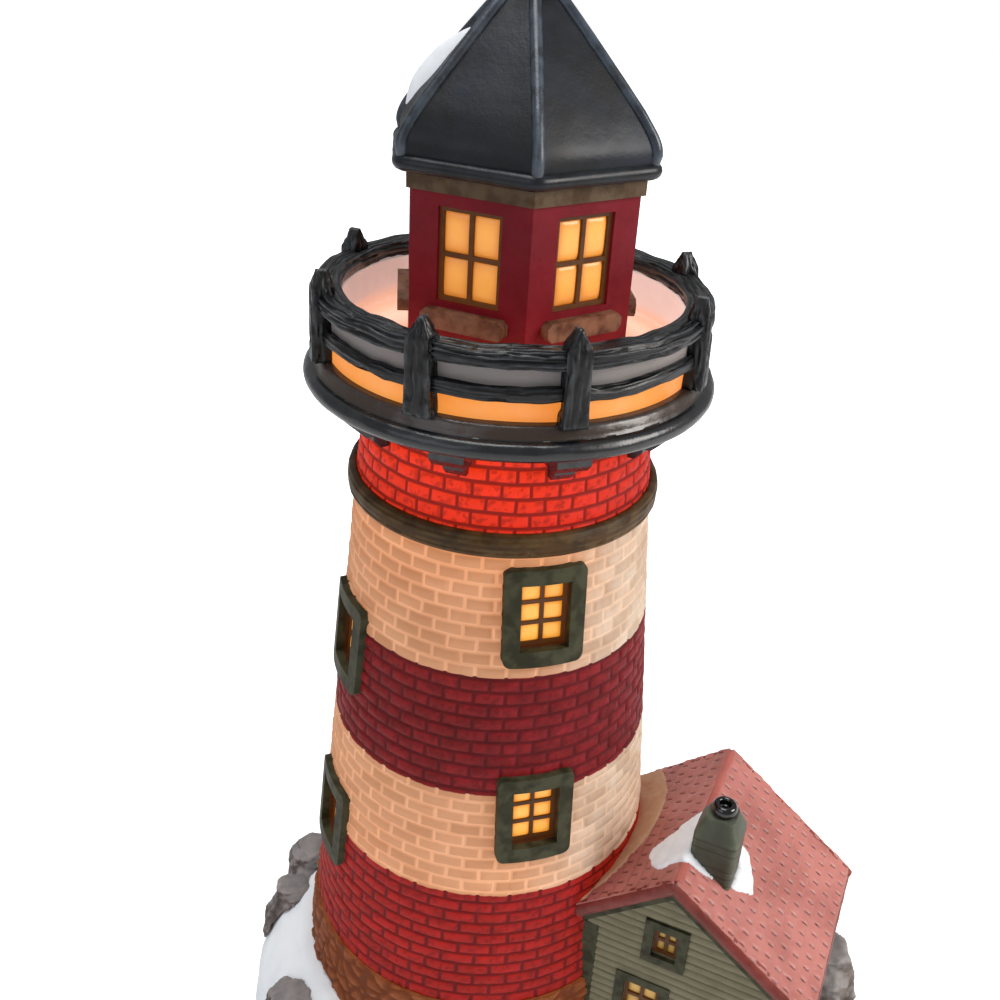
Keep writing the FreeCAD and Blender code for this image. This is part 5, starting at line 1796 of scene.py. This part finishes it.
    def roll(self, name: str, route: Sequence[Vector], radius: float, finish: Paint) -> None:
        """A hand-rolled edge along a route, left out inside the tower."""
        shape = Shape()
        shape.rod([point for point in route if not self.inside_tower(point, 1.0)], radius)
        shape.cast(name, finish.material(), "shingle")

    def rolls(self) -> None:
        """Ridge and gable edges."""
        left, right = self.eaves
        steps = 60
        route = [self.place(0.2, 1.2 + (self.length - 2.4) * step / steps, self.ridge_z - 0.7)
                 for step in range(steps + 1)]
        self.roll("ridge_roll", route, 1.7, RIDGE)
        for name, v in (("front_gable_roll", 0.9), ("rear_gable_roll", self.length - 0.9)):
            across = [left + (right - left) * step / 80 for step in range(81)]
            route = [self.place(u, v, self.roof_z(u) - 1.1) for u in across]
            self.roll(name, route, 2.0, RAKE)
        for name, u in (("left_eave_roll", left + 0.8), ("right_eave_roll", right - 0.8)):
            route = [self.place(u, self.length * step / steps, self.roof_z(u) - 1.2)
                     for step in range(steps + 1)]
            self.roll(name, route, 1.5, RAKE)

    def stack(self) -> None:
        """The chimney's bricks, drawn in above its shoulders."""
        u, v = self.chimney_uv
        low, shoulder, top = self.chimney_low, self.shoulder_z, self.chimney_top
        step = 0.42
        heights = [low + step * number for number in range(round((shoulder - low) / step))]
        heights += [shoulder + (top - shoulder) * number / 10 for number in range(11)]
        rings = []
        marks: list[list[float]] = []
        for height in heights:
            straight = min(max((height - shoulder) / (top - shoulder), 0), 1)
            half = (self.chimney_w * (1 - straight) + self.chimney_top_w * straight) / 2
            half -= 0.15 * smoothed(height, shoulder, top)
            in_bed = (height - low) % self.chimney_course < 0.35 and height < shoulder - 0.5
            groove = 1.0 if in_bed else 0.0
            outline = rounded_box(half, half, 1.7, 12)
            ring = []
            for x, y in outline:
                point = self.place(u + x, v + y, height)
                shrink = 1 - (0.02 * groove - 0.014 * rough(point, 3.0, 3))
                ring.append(self.place(u + x * shrink, v + y * shrink, height))
            rings.append(ring)
            marks.append([groove * 0.6] * len(outline))
        shape = Shape()
        shape.tube(rings, marks=lambda row, place: {"hollow": marks[row][place]})
        shape.cast("chimney_stack", CHIMNEY.material(), "chimney_grey", "chimney", angle=50)

    def pot(self) -> None:
        """The glazed pot on the chimney."""
        u, v = self.chimney_uv
        profile = along([(0.3, 114.9), (1.3, 115.0), (1.55, 116.4), (2.3, 116.75), (3.0, 116.3),
                         (3.4, 115.2), (3.1, 114.0), (2.4, 113.2), (0.3, 113.1)], 4)
        shape = Shape()
        shape.tube([[self.place(u + radius * math.cos(FULL * step / 32),
                                v + radius * math.sin(FULL * step / 32), height)
                     for step in range(32)] for radius, height in profile])
        shape.cast("chimney_pot_cast", POT.material(), "pot_black", "chimney_pot")

    def light(self, shape: Shape, glazing: Glazing, middle: float, wall: Placing) -> None:
        """Fills one window with its lights.

        Args:
            shape: The shape that takes them.
            glazing: The window's sizes.
            middle: Height of its middle.
            wall: Turns (along, height, out) on its wall into a point.
        """
        glazing.fill(shape, lambda right, up, out: wall(right, middle + up, out - self.recess))

    def lights(self) -> None:
        """Amber lights in the cottage's windows."""
        right = self.walls_u[1]
        front, back = self.walls_v
        low, attic = Shape(), Shape()
        for at in self.low_u:
            self.light(low, self.low_glazing, self.low_z,
                       lambda a, z, o: self.place(at + a, front - o, z))
        self.light(low, self.low_glazing, self.low_z,
                   lambda a, z, o: self.place(right + o, self.side_v + a, z))
        self.light(attic, self.attic_glazing, self.attic_z,
                   lambda a, z, o: self.place(self.attic_u + a, front - o, z))
        self.light(attic, self.attic_glazing, self.attic_z,
                   lambda a, z, o: self.place(self.attic_u - a, back + o, z))
        mount(low.build("cottage_low_lights", COTTAGE_AMBER.material()), "lighthouse",
              "amber_pane", "cottage_window_panes")
        mount(attic.build("cottage_attic_lights", DIM_AMBER.material()), "lighthouse",
              "amber_pane")

    def build(self) -> None:
        """Builds the cottage's pieces."""
        for name, finish, width in (("cottage_window_frames", OLIVE, 0.6),
                                    ("cottage_window_bars", BARS, 0.3),
                                    ("corner_boards", OLIVE, 0.4), ("rake_boards", OLIVE, 0.4),
                                    ("cottage_walls", CLAPBOARD, 0.0),
                                    ("cottage_roof", RAKE, 0.0)):
            dress(name, finish.material(), width, 2)
        self.walls()
        self.shingles("left_shingles", -1)
        self.shingles("right_shingles", 1)
        self.rolls()
        self.stack()
        self.pot()
        self.lights()
        for node, name, finish, slot_name, lift in (
                ("chimney_snow", "snow_by_chimney", SNOW, "porcelain_snow", 1.1),
                ("valley_flashing", "valley_filler", FILLER, "tan_filler", 0.7)):
            patch = recast(node, name, 0.5, 4, lambda point, normal:
                           lift * (0.6 + 0.4 * rough(point, 4.0, 3)), finish.material())
            mount(patch, "lighthouse", slot_name, node)


# ---------------------------------------------------------------- the lamp unit
@dataclass
class LampUnit:
    """The lift-out unit, dressed as it was packed."""

    finishes: tuple[tuple[str, Plain, float], ...] = (
        ("closure_disc", CAP_PLASTIC, 0.5), ("spring_clips", SPRING, 0.0),
        ("riser_tube", ZINC, 0.3), ("lampholder_strap", ZINC, 0.3),
        ("lower_lampholder", SLEEVE, 0.5), ("upper_lampholder", SLEEVE, 0.5),
        ("lower_bulb_cap", BRASS, 0.3), ("upper_bulb_cap", BRASS, 0.3),
        ("lower_bulb_glass", BULB, 0.0), ("upper_bulb_glass", BULB, 0.0))

    def build(self) -> None:
        """Finishes the unit's nodes."""
        for name, finish, width in self.finishes:
            dress(name, finish.material(), width, 2)


# ---------------------------------------------------------------- the studio
@dataclass
class Studio:
    """Pale floor, soft lamps, and the camera at the photograph's angle."""

    eye: tuple[float, float] = (-252.33, 320.51)
    tilt: float = math.radians(28.56)
    yaw: float = math.radians(-0.0735)
    roll: float = math.radians(3.436)
    lens: float = 39.87

    def camera(self) -> None:
        """Sets the camera up."""
        ahead = Vector((math.sin(self.yaw) * math.cos(self.tilt),
                        math.cos(self.yaw) * math.cos(self.tilt), -math.sin(self.tilt)))
        level = Vector((math.cos(self.yaw), -math.sin(self.yaw), 0))
        right = level * math.cos(self.roll) + level.cross(ahead) * math.sin(self.roll)
        rise = right.cross(ahead)
        spot = (TOWER + Vector((0, self.eye[0], self.eye[1]))) * MM
        data = bpy.data.cameras.new("eye")
        data.lens = self.lens
        data.sensor_width = 36.0
        data.clip_start = 0.01
        made = linked("eye", data)
        made.matrix_world = Matrix((
            (right.x, rise.x, -ahead.x, spot.x), (right.y, rise.y, -ahead.y, spot.y),
            (right.z, rise.z, -ahead.z, spot.z), (0, 0, 0, 1)))
        bpy.context.scene.camera = made

    def lamp(self, name: str, spot: tuple[float, float, float], size: float, power: float,
             color: str) -> None:
        """One soft lamp that looks at the tower.

        Args:
            name: The lamp's name.
            spot: Where it hangs, in metres.
            size: Its width in metres.
            power: Its power in watts.
            color: Its colour.
        """
        data = bpy.data.lights.new(name, "AREA")
        data.shape = "DISK"
        data.size = size
        data.energy = power
        data.color = tint(color)[:3]
        made = linked(name, data)
        made.location = spot
        aim = Vector((0, 0, 0.14)) - Vector(spot)
        made.rotation_euler = aim.to_track_quat("-Z", "Y").to_euler()

    def world(self) -> None:
        """White to the eye and through glass, a softer grey as light and in reflections."""
        world = bpy.data.worlds.new("studio_air")
        world.use_nodes = True
        recipe = Recipe(world.node_tree)
        paths = recipe.node("LightPath")
        seen = recipe.sum("MAXIMUM", paths.outputs["Is Camera Ray"],
                          paths.outputs["Is Transmission Ray"])
        strength = recipe.spread(seen, 0.0, 1.0, 0.34, 1.0)
        back = world.node_tree.nodes["Background"]
        recipe.feed(back.inputs["Color"], tint("ffffff"))
        recipe.feed(back.inputs["Strength"], strength)
        bpy.context.scene.world = world

    def floor(self) -> None:
        """A wide pale floor that keeps the piece's shadow, and is clear when seen from below."""
        work = bmesh.new()
        bmesh.ops.create_grid(work, x_segments=2, y_segments=2, size=3.0)
        mesh = bpy.data.meshes.new("floor")
        work.to_mesh(mesh)
        work.free()
        surface = Surface("floor_paper")
        recipe = surface.recipe
        color = recipe.mix(recipe.speckle(8.0), tint("fbfbfb"), tint("f7f7f8"))
        paths = recipe.node("LightPath")
        away = recipe.node("VectorMath", {0: recipe.place()}, operation="LENGTH").outputs["Value"]
        lift = recipe.spread(away, 0.12, 0.6, 0.45, 1.0)
        below = recipe.node("NewGeometry").outputs["Backfacing"]
        surface.set(Base_Color=color, Roughness=0.9, Specular_IOR_Level=0.0,
                    Alpha=recipe.sum("SUBTRACT", 1.0, below),
                    Emission_Color=tint("ffffff"),
                    Emission_Strength=recipe.times(paths.outputs["Is Camera Ray"], lift))
        mesh.materials.append(surface.material)
        made = linked("floor", mesh)
        made.location.z = -0.0004

    def build(self) -> None:
        """Sets up the studio."""
        self.camera()
        self.world()
        self.floor()
        self.lamp("key", (1.1, -0.25, 0.8), 0.7, 12.5, "fffaf5")
        self.lamp("fill", (-0.9, -1.0, 0.8), 1.0, 3.0, "f2f5ff")
        self.lamp("top", (-0.15, 0.1, 1.45), 0.9, 12.5, "ffffff")


def main() -> None:
    """Builds the scene piece by piece."""
    logging.basicConfig(level=logging.INFO, format="%(message)s")
    bpy.context.scene.view_settings.view_transform = "Standard"
    for assembly in (Studio(), Base(), Tower(), Gallery(), Lantern(), Cottage(), LampUnit()):
        LOG.info("building %s", type(assembly).__name__)
        assembly.build()


if __name__ == "__main__":
    main()
